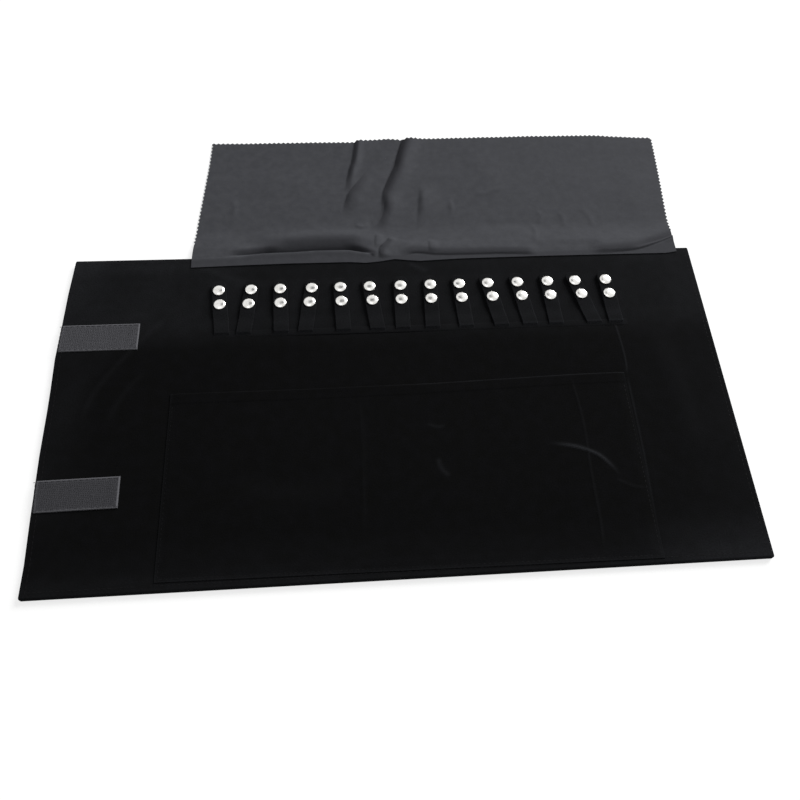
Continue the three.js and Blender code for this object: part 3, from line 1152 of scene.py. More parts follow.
    def build_back(self) -> None:
        """Makes the leatherette back, with a recess for each loop strip."""
        loops = [self.layout.boxes[f"loop_strip_{place}"] for place in ("upper", "lower")]
        gap = self.recess_gap
        walls_x = [loops[0][0].x - gap, loops[0][0].x, loops[0][1].x, loops[0][1].x + gap]
        walls_y = [e for low, high in loops for e in (low.y - gap, low.y, high.y, high.y + gap)]
        for strip in stretches(self.layout, "back", Section.CLOSING, "back"):
            walls = [(e - 0.01, e + 0.01, 0.02) for e in walls_x if strip.left < e < strip.right]
            x, y = self.grid(strip, walls, walls_y)
            lay_x, lay_y = self.laid(x, y)
            low = rolled(self.edge_distance(x, y), self.back_roll)
            for corner, far in loops:
                inside = (x > corner.x - gap / 2) & (x < far.x + gap / 2)
                inside &= (y > corner.y - gap / 2) & (y < far.y + gap / 2)
                low = np.where(inside, self.loop_recess, low)
            top = points(lay_x, lay_y, self.back_top)
            bottom = points(lay_x, lay_y, low)
            drawn = smooth((strip.bend + 0.4 - abs(x - self.layout.folds[strip.first])) / 0.8)
            piece = slab(strip.name, top, bottom, LEATHERETTE, drawn, points(x, y))
            strip.join(piece, self.layout)
            LOG.info("made %s", piece.name)


@dataclass
class Pocket:
    """The long flat pocket, sewn down on three sides, with a hemmed mouth."""

    layout: Layout
    grid_step: float = 1.5
    puff: float = 0.5
    seam_width: float = 7.0
    seam_height: float = 0.2
    hem_depth: float = 9.0
    hem_height: float = 0.22
    lip_roll: float = 0.5
    mouth: Path = ((-162, 10), (-69, 10), (25, 11), (132, 14.5), (171, 15))
    creases: tuple[Crease, ...] = (
        Crease(
            ((104, -41), (124, -45), (138, -51), (146, -59), (153, -69)), 0.6, 0.85, 0.95, lean=1.8, fade=0.35
        ),
        Crease(((130, 13), (133, -24), (132, -63), (132, -99), (131, -121)), 0.3, 0.75, 0.15, fade=0.1),
        Crease(((-27, 8), (-25, -40), (-27, -104)), 0.25, 0.9, 0.08),
        Crease(((20, -22), (28, -25), (34, -24)), 0.25, 1.2, 0.2),
        Crease(((26, -48), (28, -57), (34, -64)), 0.3, 1.5, 0.32),
        Crease(((-159, 4), (-158, -49), (-159, -99), (-159, -124)), 0.2, 1.0, 0.06, fade=0.1),
        Crease(((148, -70), (160, -76), (169, -77)), 0.25, 0.9, 0.16),
        Crease(((-120, -60), (-80, -72), (-30, -66)), 0.3, 8.0, 0.05),
    )
    crease_columns: Dense = ((102.0, 155.0, 0.8),)
    dents: Dents = ((21, 48, 0.22), (22, 17, 0.1))

    def surface(self, x: Array, y: Array, rear: Array) -> Pair:
        """The height and nap of the pocket's velvet.

        Args:
            x, y: Places along and across the roll.
            rear: The mouth's place at each x.

        Returns:
            The height and the nap.
        """
        low, high = self.layout.whole("pocket")
        sides = np.minimum.reduce((x - low.x, high.x - x, y - low.y))
        from_mouth = rear - y
        height, nap = creased(self.creases, x, y)
        rise = smooth(sides / self.seam_width)
        puff = self.puff * smooth(sides / 45) * smooth(from_mouth / 60)
        height = (height + dented(self.dents, x, y)) * rise + puff
        hem = smooth((self.hem_depth - from_mouth) / 1.2)
        lip = np.clip(self.lip_roll - from_mouth, 0, self.lip_roll) ** 2 / self.lip_roll
        base = low.z + self.seam_height + (high.z - low.z - self.seam_height) * rise
        worn = 0.08 + 0.3 * smooth((x + 10) / 40) + 0.1 * soft_noise(23, 14, x, y)
        nap = np.maximum(nap, worn * np.exp(-((from_mouth / 0.8) ** 2)))
        # Painted sheen, and painted light along the sewn sides that offsets their shade.
        nap = nap + pile_and_painted_sheen(x, y) + 0.14 * np.exp(-((sides / 1.2) ** 2))
        return base + height * smooth(from_mouth / 6) + self.hem_height * hem - lip, np.clip(nap, 0, 1)

    def build(self) -> None:
        """Makes the pocket's two stretches."""
        low = self.layout.boxes["base_pocket"][0]
        at, mouth_y = np.array(self.mouth).T
        strips = stretches(self.layout, "pocket", Section.BASE, "pocket")
        for strip, under in zip(strips, (["velvet_left", "velvet_centre"], ["velvet_right"])):
            columns = strip.columns(self.layout, self.grid_step, self.crease_columns)
            shares = np.concatenate([np.linspace(0, 0.9, 110, endpoint=False), np.linspace(0.9, 1, 24)])
            x, share = np.meshgrid(columns, shares)
            rear = np.interp(x, at, mouth_y)
            y = low.y + share * (rear - low.y)
            z, nap = self.surface(x, y, rear)
            top = points(x, y, z)
            bottom = points(x, y, low.z - 0.15)
            piece = slab(strip.name, top, bottom, VELVET, nap)
            strip.join(piece, self.layout)
            LOG.info("made %s", piece.name)


@dataclass
class Welt:
    """The low seam that catches the straps' sewn ends."""

    layout: Layout
    grid_step: float = 2.0
    rows: int = 13
    # Its height as a share of the space that it has.
    height: float = 0.4
    # Painted light on the welt's front, which offsets its shade.
    front_painted_light: float = 0.12

    def build(self) -> None:
        """Makes the welt's two stretches."""
        low, high = self.layout.whole("strap_welt")
        for strip in stretches(self.layout, "welt", Section.BASE, "strap_welt"):
            x, share = np.meshgrid(strip.columns(self.layout, self.grid_step), np.linspace(0, 1, self.rows))
            crown = np.sqrt(np.clip(1 - (2 * share - 1) ** 2, 0, 1))
            ends = smooth(np.minimum(x - low.x, high.x - x) / 4)
            y = low.y + share * (high.y - low.y)
            z = low.z - 0.1 + self.height * (high.z - low.z) * (0.15 + 0.85 * crown) * (0.2 + 0.8 * ends)
            top = points(x, y, z + 0.05 * soft_noise(31, 6, x, y))
            bottom = points(x, y, low.z - 0.25)
            nap = pile_and_painted_sheen(x, y) + self.front_painted_light * (1 - share)
            piece = slab(strip.name, top, bottom, VELVET, nap)
            strip.join(piece, self.layout)
            LOG.info("made %s", piece.name)


@dataclass
class SnapStraps:
    """The row of velvet straps, each with two snaps, and the studs below them."""

    layout: Layout
    joints: dict[str, dict[str, Any]]
    width: float = 11.4
    tip_radius: float = 4.6
    tip_margin: float = 9.0
    sewn_reach: float = 2.2
    edge_roll: float = 0.55
    # The later straps are used more, and their edges are crushed paler.
    worn_edges: float = 0.3
    # Painted light on every strap's left edge and sewn end, which offsets the shade that falls there.
    left_edge_painted_light: float = 0.4
    end_painted_light: float = 0.45
    sag: float = 1.15
    cap_radius: float = 4.6
    cap_height: float = 2.0
    stud_radius: float = 1.5
    flange_radius: float = 3.3
    socket_radius: float = 3.2
    bore_radius: float = 1.9
    # How far the socket's ring stays above its lowest place.
    socket_rise: float = 0.6
    # The rim of a cap, as shares of its radius and height.
    cap_rim: Path = (
        (0, 0), (0.9, 0), (0.97, 0.06), (1, 0.18), (0.99, 0.34), (0.95, 0.5), (0.9, 0.58), (0.87, 0.6)
    )
    dome_radius: float = 0.86
    dome_base: float = 0.62
    # How far the studs' tape reaches past them.
    stud_margin: float = 4.0
    snap_sides: int = 40
    seam_rows: int = 18
    middle_rows: int = 16
    tip_rows: int = 16
    fine_reach: float = 6.0
    edge_steps: tuple[float, ...] = (0, 0.05, 0.16, 0.34, 0.6, 1.0)
    bend: float = 2.6
    # How a strap rises from the welt, and how far it dips and is tucked under at its seam.
    lift_reach: float = 9.0
    seam_dip: float = 0.35
    tuck_start: float = 0.8
    tuck_length: float = 2.4
    tucked_top: float = 0.12
    tucked_under: float = 0.02
    ripple: float = 0.12
    # The velvet is thicker where the sockets grip it.
    grip: float = 0.35

    def outline(self, name: str) -> tuple[Vector, Vector, Array]:
        """Where a strap starts, which way it runs and where its snaps are.

        Args:
            name: The strap's body.

        Returns:
            The sewn end's middle, the way towards the tip, and the snaps' reaches from the sewn end.
        """
        sewn = Vector(self.joints[f"{name}_open"]["pos_m"]) / MM
        snap_low, snap_high = self.layout.boxes[name.replace("strap", "snap_pair")]
        middle = (snap_low + snap_high) / 2
        way = Vector((middle.x - sewn.x, middle.y - sewn.y, 0))
        reach = way.length
        way.normalize()
        stud_low, stud_high = self.layout.boxes["middle_snap_studs"]
        spacing = stud_high.y - stud_low.y - 2 * self.stud_margin
        return sewn, way, np.array([reach - spacing / 2, reach + spacing / 2])

    def snap_places(self, name: str) -> Array:
        """The middles of a strap's two snaps, at a height of 0."""
        sewn, way, snaps = self.outline(name)
        return np.array([[sewn.x + way.x * s, sewn.y + way.y * s, 0] for s in snaps])

    def grid(self, length: float) -> Pair:
        """The places of a strap's grid, close together at its edges, its seam and its tip.

        Args:
            length: From the seam to the tip.

        Returns:
            The places across and along it, by row and column.
        """
        half, fine = self.width / 2, self.fine_reach
        steps = np.array(self.edge_steps) * self.edge_roll * 2
        across = np.concatenate([-half + steps, np.linspace(-half + 1.8, half - 1.8, 7), half - steps])
        seam = np.linspace(-self.sewn_reach, fine, self.seam_rows, endpoint=False)
        middle = np.linspace(fine, length - fine, self.middle_rows, endpoint=False)
        tip = length - fine * np.cos(np.linspace(0, math.pi / 2, self.tip_rows))
        along = np.concatenate([seam, middle, tip])
        return np.meshgrid(np.unique(across), np.unique(np.round(along, 4)))

    def nap(self, number: int, snap: float, u: Array, v: Array, pile: Array) -> Array:
        """How far a strap is drawn paler: worn edges, with painted light on its left edge, lower part and
        sewn end, where shade falls.

        Args:
            number: The strap's number.
            snap: The first snap's reach from the sewn end.
            u: Places across the strap.
            v: Places along it.
            pile: Uneven wear at each place, around 0.

        Returns:
            The nap.
        """
        half = self.width / 2
        worn = self.worn_edges * smooth((number - 6) / 4) * (0.6 + 0.4 * pile)
        edges = worn * np.exp(-(((half - np.abs(u)) / 0.8) ** 2))
        edges = edges + self.left_edge_painted_light * np.exp(-(((half + u) / 0.5) ** 2))
        # Painted light on the strap's lower part, in the shade of the raised snaps.
        nap = 0.1 * smooth((snap - v) / 6) + edges * smooth((snap + 4 - v) / 8)
        return nap + (0.1 + worn) * smooth(1 - v / 3) + self.end_painted_light * smooth((1 - v) / 2)

    def build_strap(self, name: str, section: Section) -> None:
        """Makes one velvet strap, sewn down at its front end.

        Args:
            name: The strap's body.
            section: The section that carries it.
        """
        sewn, way, snaps = self.outline(name)
        low, high = self.layout.boxes[name]
        welt_low, welt_high = self.layout.boxes[f"{section.value}_strap_welt"]
        welt_top = welt_low.z + Welt.height * (welt_high.z - welt_low.z)
        number = int(name[-2:])
        length, half = snaps[1] + self.tip_margin, self.width / 2
        u, v = self.grid(length)
        past = np.clip((v - (length - self.tip_radius)) / self.tip_radius, 0, 1)
        reach = half - self.tip_radius + self.tip_radius * np.sqrt(np.clip(1 - past**2, 0, 1))
        side = u * reach / half
        run = v - np.tan(math.atan2(-way.x, way.y)) * side * smooth(1 - v / 12)
        x = sewn.x + way.x * run + way.y * side
        y = sewn.y + way.y * run - way.x * side
        roll = rolled(np.minimum(half - np.abs(u), length - v), self.edge_roll)
        drop = (1 - smooth(v / self.lift_reach)) * (low.z - welt_top - 0.02)
        drop = drop + smooth(-v / self.sewn_reach) * self.seam_dip
        drop = drop + self.sag * np.sin(np.clip(v / (snaps[0] - 4), 0, 1) * math.pi) ** 2
        free = smooth(v / 8) * smooth((snaps[0] - 5 - v) / 5)
        wave = self.ripple * soft_noise(40 + number, 9, x, y) * free
        tucked, floor = smooth((self.tuck_start - v) / self.tuck_length), self.layout.top + self.tucked_under
        z_top = high.z - drop + wave - roll
        z_low = low.z - drop + wave - self.grip * smooth((v - snaps[0] + 8) / 2) + 0.6 * roll
        z_top = z_top * (1 - tucked) + (self.layout.top + self.tucked_top) * tucked
        z_low = np.maximum(z_low * (1 - tucked) + floor * tucked, floor)
        nap = pile_and_painted_sheen(x, y) + self.nap(number, snaps[0], u, v, soft_noise(70 + number, 7, x, y))
        top = points(x, y, z_top)
        bottom = points(x, y, np.minimum(z_low, z_top - 0.02))
        piece = slab(f"velvet_{name}", top, bottom, VELVET, nap)
        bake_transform(piece)
        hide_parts(name)

    def cap_profile(self, bottom: float) -> Path:
        """The snap cap: a rolled rim, a fine groove and a low dome."""
        r, h = self.cap_radius, self.cap_height
        rim = [(r * across, bottom + up * h) for across, up in self.cap_rim]
        wide, base = r * self.dome_radius, bottom + self.dome_base * h
        turns = np.linspace(0.12, math.pi / 2, 9)[:-1]
        dome = [(wide * math.cos(a), base + (1 - self.dome_base) * h * math.sin(a)) for a in turns]
        return [*rim, *dome, (0, bottom + h)]

    def socket_profile(self, bottom: float, top: float) -> Path:
        """The socket under a strap: a rolled ring round a bore."""
        r, bore = self.socket_radius, self.bore_radius
        return [
            (0, bottom + 0.7), (bore, bottom + 0.66), (bore - 0.12, bottom + 0.34), (bore, bottom + 0.1),
            (bore + 0.3, bottom), (r - 0.35, bottom), (r - 0.08, bottom + 0.12), (r, bottom + 0.36),
            (r, top), (0, top),
        ]

    def stud_profile(self, base: float, top: float) -> Path:
        """The stud: a flange on the velvet, a neck and a rounded bulb."""
        r, flange = self.stud_radius, self.flange_radius
        return [
            (0, base - 0.4), (flange - 0.1, base - 0.4), (flange, base), (flange - 0.2, base + 0.14),
            (1.5, base + 0.2), (1.05, base + 0.3), (1.0, base + 0.42), (r - 0.1, top - 0.38),
            (r, top - 0.24), (r - 0.15, top - 0.08), (0.7, top), (0, top - 0.03),
        ]

    def build_snaps(self, name: str) -> None:
        """Makes the two caps and sockets of one strap.

        Args:
            name: The strap's body.
        """
        low, high = self.layout.boxes[name]
        snap_node = name.replace("strap", "snap_pair")
        lowest = self.layout.boxes[snap_node][0].z + self.socket_rise
        cap = turned(self.cap_profile(high.z - 0.05), self.snap_sides)
        socket = turned(self.socket_profile(lowest, low.z), self.snap_sides)
        places = self.snap_places(name)
        shapes = [scattered(shape, places) for shape in (cap, socket)]
        piece = new_piece(f"snaps_{name[-2:]}", *joined(shapes), NICKEL)
        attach(piece, name)
        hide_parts(snap_node)

    def build_studs(self, section: Section, names: Sequence[str]) -> None:
        """Makes the studs of one section.

        Args:
            section: The section.
            names: The straps above them.
        """
        node = f"{section.value}_snap_studs"
        top = self.layout.boxes[node][1].z
        stud = turned(self.stud_profile(self.layout.top + 0.05, top), self.snap_sides // 2)
        shapes = [scattered(stud, self.snap_places(name)) for name in names]
        piece = new_piece(f"studs_{section.value}", *joined(shapes), NICKEL)
        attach(piece, section.body)
        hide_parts(node)

    def build(self) -> None:
        """Makes every strap with its snaps, and the studs of each section."""
        held: dict[Section, list[str]] = {}
        for joint in self.joints.values():
            if joint["name"].startswith("strap_"):
                held.setdefault(Section(joint["parent"].removesuffix("_section")), []).append(joint["child"])
        for section, names in held.items():
            for name in names:
                self.build_strap(name, section)
                self.build_snaps(name)
            self.build_studs(section, names)
            LOG.info("made %d straps on %s", len(names), section.value)


@dataclass
class CoverFlap:
    """The cover flap of thin cloth with pinked edges, laid open behind the panel."""

    layout: Layout
    hinge_y: float
    snaps_y: float
    # Where the opened straps' snaps meet the closed flap, on the flap as it lies open.
    open_snaps_y: float
    step: float = 1.0
    near_step: float = 0.5
    # A pinked edge has a tooth every four grid lines.
    tooth: tuple[float, ...] = (0.0, 0.75, 0.0, -0.75)
    thickness: float = 0.55
    lowest: float = 0.12
    hem_level: float = 4.32
    # Behind its crest the cloth drops off, then levels out on the table.
    drop_length: float = 3.0
    slope_length: float = 32.0
    lip_front: float = 3.2
    lip_rear: float = 0.8
    overhang: float = 0.9
    near_reach: float = 24.0
    # Two stretches are this far from the line that parts them.
    cut_gap: float = 0.001
    # Where the hem's front lies.
    hem_front: Path = (
        (-154, 123.2), (-117, 124), (-78, 124.6), (-30, 124.4), (-17, 123.2), (-6, 124.2), (6, 126.2),
        (16, 124.8), (26, 123.7), (58, 125), (124, 125.4), (206, 125.1), (226, 125), (235, 126.4),
    )
    # Where the cloth drops off the panel.
    crest: Path = (
        (-156, 131), (-130, 131.6), (-117, 132.2), (-100, 134.4), (-78, 134.6), (-54, 135.8),
        (-30, 135.3), (-17, 132.4), (-8, 130), (40, 129.4), (91, 128.7), (122, 128),
        (172, 128), (190, 128.6), (206, 130.4), (229, 137.9), (238, 141.8),
    )
    # How much of the drop comes at the crest. The rest is a long slope from the panel's edge.
    sheer: Path = (
        (-156, 0.0), (-128, 0.0), (-110, 0.5), (-98, 0.85), (-30, 0.9),
        (-17, 0.5), (-8, 0.0), (200, 0.0), (214, 0.35), (238, 0.55),
    )
    crest_lift: Path = (
        (-156, 0.1), (-118, 0.2), (-85, 0.5), (-30, 0.5), (-16, 0.3), (-8, 0.0), (206, 0.0), (238, 0.3)
    )
    # Where the free edge lies.
    free_edge: Path = (
        (-154, 260.5), (-60, 260), (-23, 259), (-13, 261.5), (6, 262.5), (16, 261),
        (23, 260), (42, 262), (134, 263), (192, 262), (228, 259), (245, 258),
    )
    # How far the left and right edges lean to the right from the hem to the free edge.
    left_lean: tuple[float, float] = (-1.0, 8.0)
    right_lean: tuple[float, float] = (1.5, 9.0)
    # On each roll the nap darkens its steep side: painted shade.
    creases: tuple[Crease, ...] = (
        Crease(
            (
                (35.4, 290), (23.6, 257), (18.2, 238), (15.9, 228), (11.8, 218),
                (4.4, 198), (3.2, 181), (-2, 167), (-9, 156),
            ),
            3.6, 5.0, 0.8, lean=1.9, fade=0.1, sink=0.55, roll=1.25,
        ),
        Crease(
            ((-8, 176), (-5.4, 198), (0.8, 219), (7, 238), (13.7, 257), (25.5, 290)),
            0.6, 4.5, lean=2.6, fade=0.45, sink=0.1, roll=2.0,
        ),
        Crease(
            ((-16, 290), (-19.5, 255), (-22.2, 236), (-24.7, 227), (-28, 208), (-29.6, 196)),
            2.0, 3.4, 0.8, lean=1.1, fade=0.1, sink=0.35, roll=1.25,
        ),
        Crease(
            ((-4, 230), (-23.5, 201), (-27, 193), (-29.6, 182), (-31, 172)),
            2.4, 4.4, 0.4, lean=2.4, fade=0.5, sink=0.4, roll=1.4,
        ),
        Crease(((35, 210), (34, 191), (31, 170), (30, 158)), 1.8, 4.0, lean=2.4, fade=0.4, roll=1.4),
        Crease(
            ((5.5, 151), (3, 144.5), (-2.3, 138), (-3.4, 133), (-2.4, 126)),
            1.4, 3.0, 0.5, lean=1.8, fade=0.2, roll=2.0,
        ),
        Crease(((37, 147), (37, 140), (37, 131)), 0.8, 3.0, lean=1.5, fade=0.3, roll=2.0),
        Crease(((-5.5, 156), (-6, 148), (-6.5, 137)), 0.8, 3.0, lean=1.5, fade=0.3, roll=2.0),
        Crease(
            (
                (11, 130), (16, 134), (22, 135.6), (30, 135), (40, 133.4),
                (59, 132.8), (91, 132.7), (111, 131.5), (124, 129.5),
            ),
            1.3, 4.0, 0.5, lean=2.0, fade=0.1, roll=2.0,
        ),
        Crease(
            ((164, 130), (181, 131.7), (205, 134.7), (227, 142.6), (234, 145.6), (252, 153)),
            1.6, 5.0, 0.5, lean=2.0, fade=0.16, roll=2.0,
        ),
        Crease(
            ((-116, 144), (-100, 147), (-78, 148), (-54, 149), (-30, 148.5), (-17, 145), (-6, 138)),
            3.6, 9.4, 0.55, lean=1.25, fade=0.36, sink=0.2, roll=1.4,
        ),
        Crease(
            ((-130, 137.6), (-117, 138.8), (-100, 141.4), (-78, 143)),
            1.5, 3.6, 0.55, lean=1.5, fade=0.3, roll=1.4,
        ),
        Crease(
            ((-36, 142), (-21.5, 139.5), (-13, 135), (-7.4, 129)),
            1.2, 2.6, 0.7, lean=2.0, fade=0.3, sink=0.15, roll=1.4,
        ),
        Crease(((3, 202), (4.5, 184), (0, 168), (-8, 157)), 1.5, 4.0, 0.45, lean=2.0, fade=0.35, roll=1.4),
        Crease(((-12, 168), (-18, 163), (-26, 166)), 1.0, 2.2, fade=0.3),
        Crease(((60, 150), (100, 154), (130, 150)), 0.6, 8.0, fade=0.3),
        Crease(((128, 178), (131, 170), (128, 160)), 0.6, 2.2, fade=0.3),
        Crease(((146, 176), (150, 166), (148, 156)), 0.5, 2.4, fade=0.3),
        Crease(((164, 180), (172, 168), (174, 154)), 0.5, 2.6, fade=0.3),
        Crease(((120, 138), (124, 150), (122, 162)), 0.5, 2.4, fade=0.3),
        Crease(((56, 192), (57, 180), (55, 172)), 0.6, 2.0, fade=0.35),
        Crease(((76, 194), (92, 198), (106, 206)), 0.6, 3.0, fade=0.35),
        Crease(((-150, 145), (-136, 151), (-118, 160)), 0.5, 5.0, fade=0.3),
        Crease(((-126, 176), (-124, 186), (-125, 198)), 0.5, 2.6, fade=0.35),
        Crease(((70, 250), (92, 222), (98, 190)), 0.5, 12.0, fade=0.3),
        Crease(((196, 178), (214, 196), (222, 220)), 0.5, 11.0, fade=0.3),
        Crease(((-110, 200), (-80, 214), (-50, 212)), 0.45, 10.0, fade=0.3),
    )
    # The cloth's loose height over its soft dents.
    slack: float = 0.44
    dents: Dents = ((51, 38, 0.3), (52, 13, 0.14))
    # How much lower it lies where it comes down on closed and on opened snaps.
    snap_press: float = 0.45
    open_snap_press: float = 0.6
    # The hem's darker tone: flattened nap with painted shade from the rolls behind it.
    hem_nap_and_shade: float = 0.35
    hinge_bend: float = 1.2

    @property
    def reach(self) -> float:
        """From the hem's front to the free edge, at the left end."""
        return self.free_edge[0][1] - self.hem_front[0][1]

    def past_hem(self, y: Array) -> Array:
        """A mask that keeps the creases off the sewn hem."""
        return smooth((y - self.hinge_y + 6) / 5)

    def along(self, path: Path, x: Array) -> Array:
        """The second value of a path's points at each x."""
        at, value = np.array(path).T
        return np.interp(x, at, value)

    def laid(self, x: Array, y: Array) -> Array:
        """Lays the cloth over the panel's rear edge and onto the table, with its creases.

        Args:
            x, y: Places along and across the roll.

        Returns:
            The points of its underside.
        """
        past = y - self.along(self.crest, x)
        lip_reach = np.where(past < 0, self.lip_front, self.lip_rear)
        lip = self.along(self.crest_lift, x) * np.exp(-((past / lip_reach) ** 2))
        soft = self.slack + dented(self.dents, x, y)
        on_open_snaps = np.exp(-(((y - self.open_snaps_y) / 15) ** 2))
        loose = smooth((y - self.hinge_y - 4) / 8) * (1 - self.open_snap_press * on_open_snaps)
        on_snaps = np.exp(-(((y - 2 * self.hinge_y + self.snaps_y) / 11) ** 2))
        marks = creased(self.creases, x, y)[0] * (1 - self.snap_press * on_snaps)
        wrinkles = marks * self.past_hem(y) + soft * loose
        sheer = self.along(self.sheer, x)
        slope = smooth((y - self.hinge_y - 1) / self.slope_length)
        fall = sheer * smooth(past / self.drop_length) + (1 - sheer) * slope
        z = self.hem_level * (1 - fall) + self.lowest * fall + lip + wrinkles
        over = self.overhang * np.exp(-((past / 1.2) ** 2)) * self.along(self.crest_lift, x)
        return points(x, y + over, z)

    def pressed_and_shaded(self, x: Array, y: Array) -> Array:
        """How far the cloth is drawn darker: flattened nap with painted shade on the hem in front of the
        crest, and painted shade on the rolls' steep sides.
        """
        hem = smooth((np.maximum(self.along(self.crest, x), self.hinge_y) - y) / 2.5)
        return np.maximum(self.hem_nap_and_shade * hem, creased(self.creases, x, y)[1] * self.past_hem(y))

    def shares(self) -> Array:
        """The flap's rows from its hem, at 0, to its free edge, at 1, close together near the hinge."""
        near = np.arange(0, self.near_reach, self.near_step)
        count = 4 * round((self.reach - self.near_reach) / self.step / 4) + 1
        return np.concatenate([near, np.linspace(self.near_reach, self.reach, count)]) / self.reach

    def columns(self) -> Array:
        """Every column of the flap, four to a pinked tooth."""
        low, high = self.layout.whole("flap")
        return np.linspace(low.x, high.x, 4 * round((high.x - low.x) / self.step / 4) + 1)

    def grid(self, columns: Array, shares: Array) -> tuple[Array, ...]:
        """The places of the whole flap's grid, with pinked edges.

        Args:
            columns: Its columns before it leans.
            shares: Its rows.

        Returns:
            The cut places and the spread places, each as x and y by row and column.
        """
        cut_x, share = np.meshgrid(columns, shares)
        front = self.along(self.hem_front, cut_x)
        loose = np.clip((share - 0.08) / 0.92, 0, 1)
        lean = 0.5 * smooth(loose) + 0.5 * loose
        left = self.left_lean[0] + lean * (self.left_lean[1] - self.left_lean[0])
        right = self.right_lean[0] + lean * (self.right_lean[1] - self.right_lean[0])
        across = (cut_x - columns[0]) / (columns[-1] - columns[0])
        x = cut_x + left * (1 - across) + right * across
        y = front + share * (self.along(self.free_edge, x) - front)
        cut_y = front[:1] + share * (self.free_edge[0][1] - front)
        y[-1] += np.resize(self.tooth, len(columns))
        teeth = np.resize(self.tooth, len(shares)) * (shares > self.near_reach / self.reach)
        x[:, 0] += teeth
        x[:, -1] += teeth
        return cut_x, cut_y, x, y

    def build(self) -> None:
        """Makes the flap's three stretches, one for each section."""
        columns = self.columns()
        cut_x, cut_y, x, y = self.grid(columns, self.shares())
        bottom = self.laid(x, y)
        pressed_and_shaded = self.pressed_and_shaded(x, y)
        top = bottom + np.array([0, 0, self.thickness])
        for section in (Section.BASE, Section.MIDDLE, Section.INNER):
            left, right = self.layout.held_by(section)
            held = np.flatnonzero((columns > left - self.step / 2) & (columns <= right + self.step / 2))
            span = slice(held[0], held[-1] + 1)
            cloth = points(cut_x[:, span], cut_y[:, span])
            apart = np.zeros((1, len(held), 3))
            apart[0, 0, 0] = self.cut_gap if held[0] > 0 else 0
            apart[0, -1, 0] = -self.cut_gap if held[-1] < len(columns) - 1 else 0
            faces = (top[:, span] + apart, bottom[:, span] + apart)
            piece = slab(f"flap_{section.value}", *faces, FLAP_CLOTH, pressed_and_shaded[:, span], cloth)
            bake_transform(piece)
            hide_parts(f"{section.value}_flap", f"{section.value}_flap_hem")
            LOG.info("made %s", piece.name)


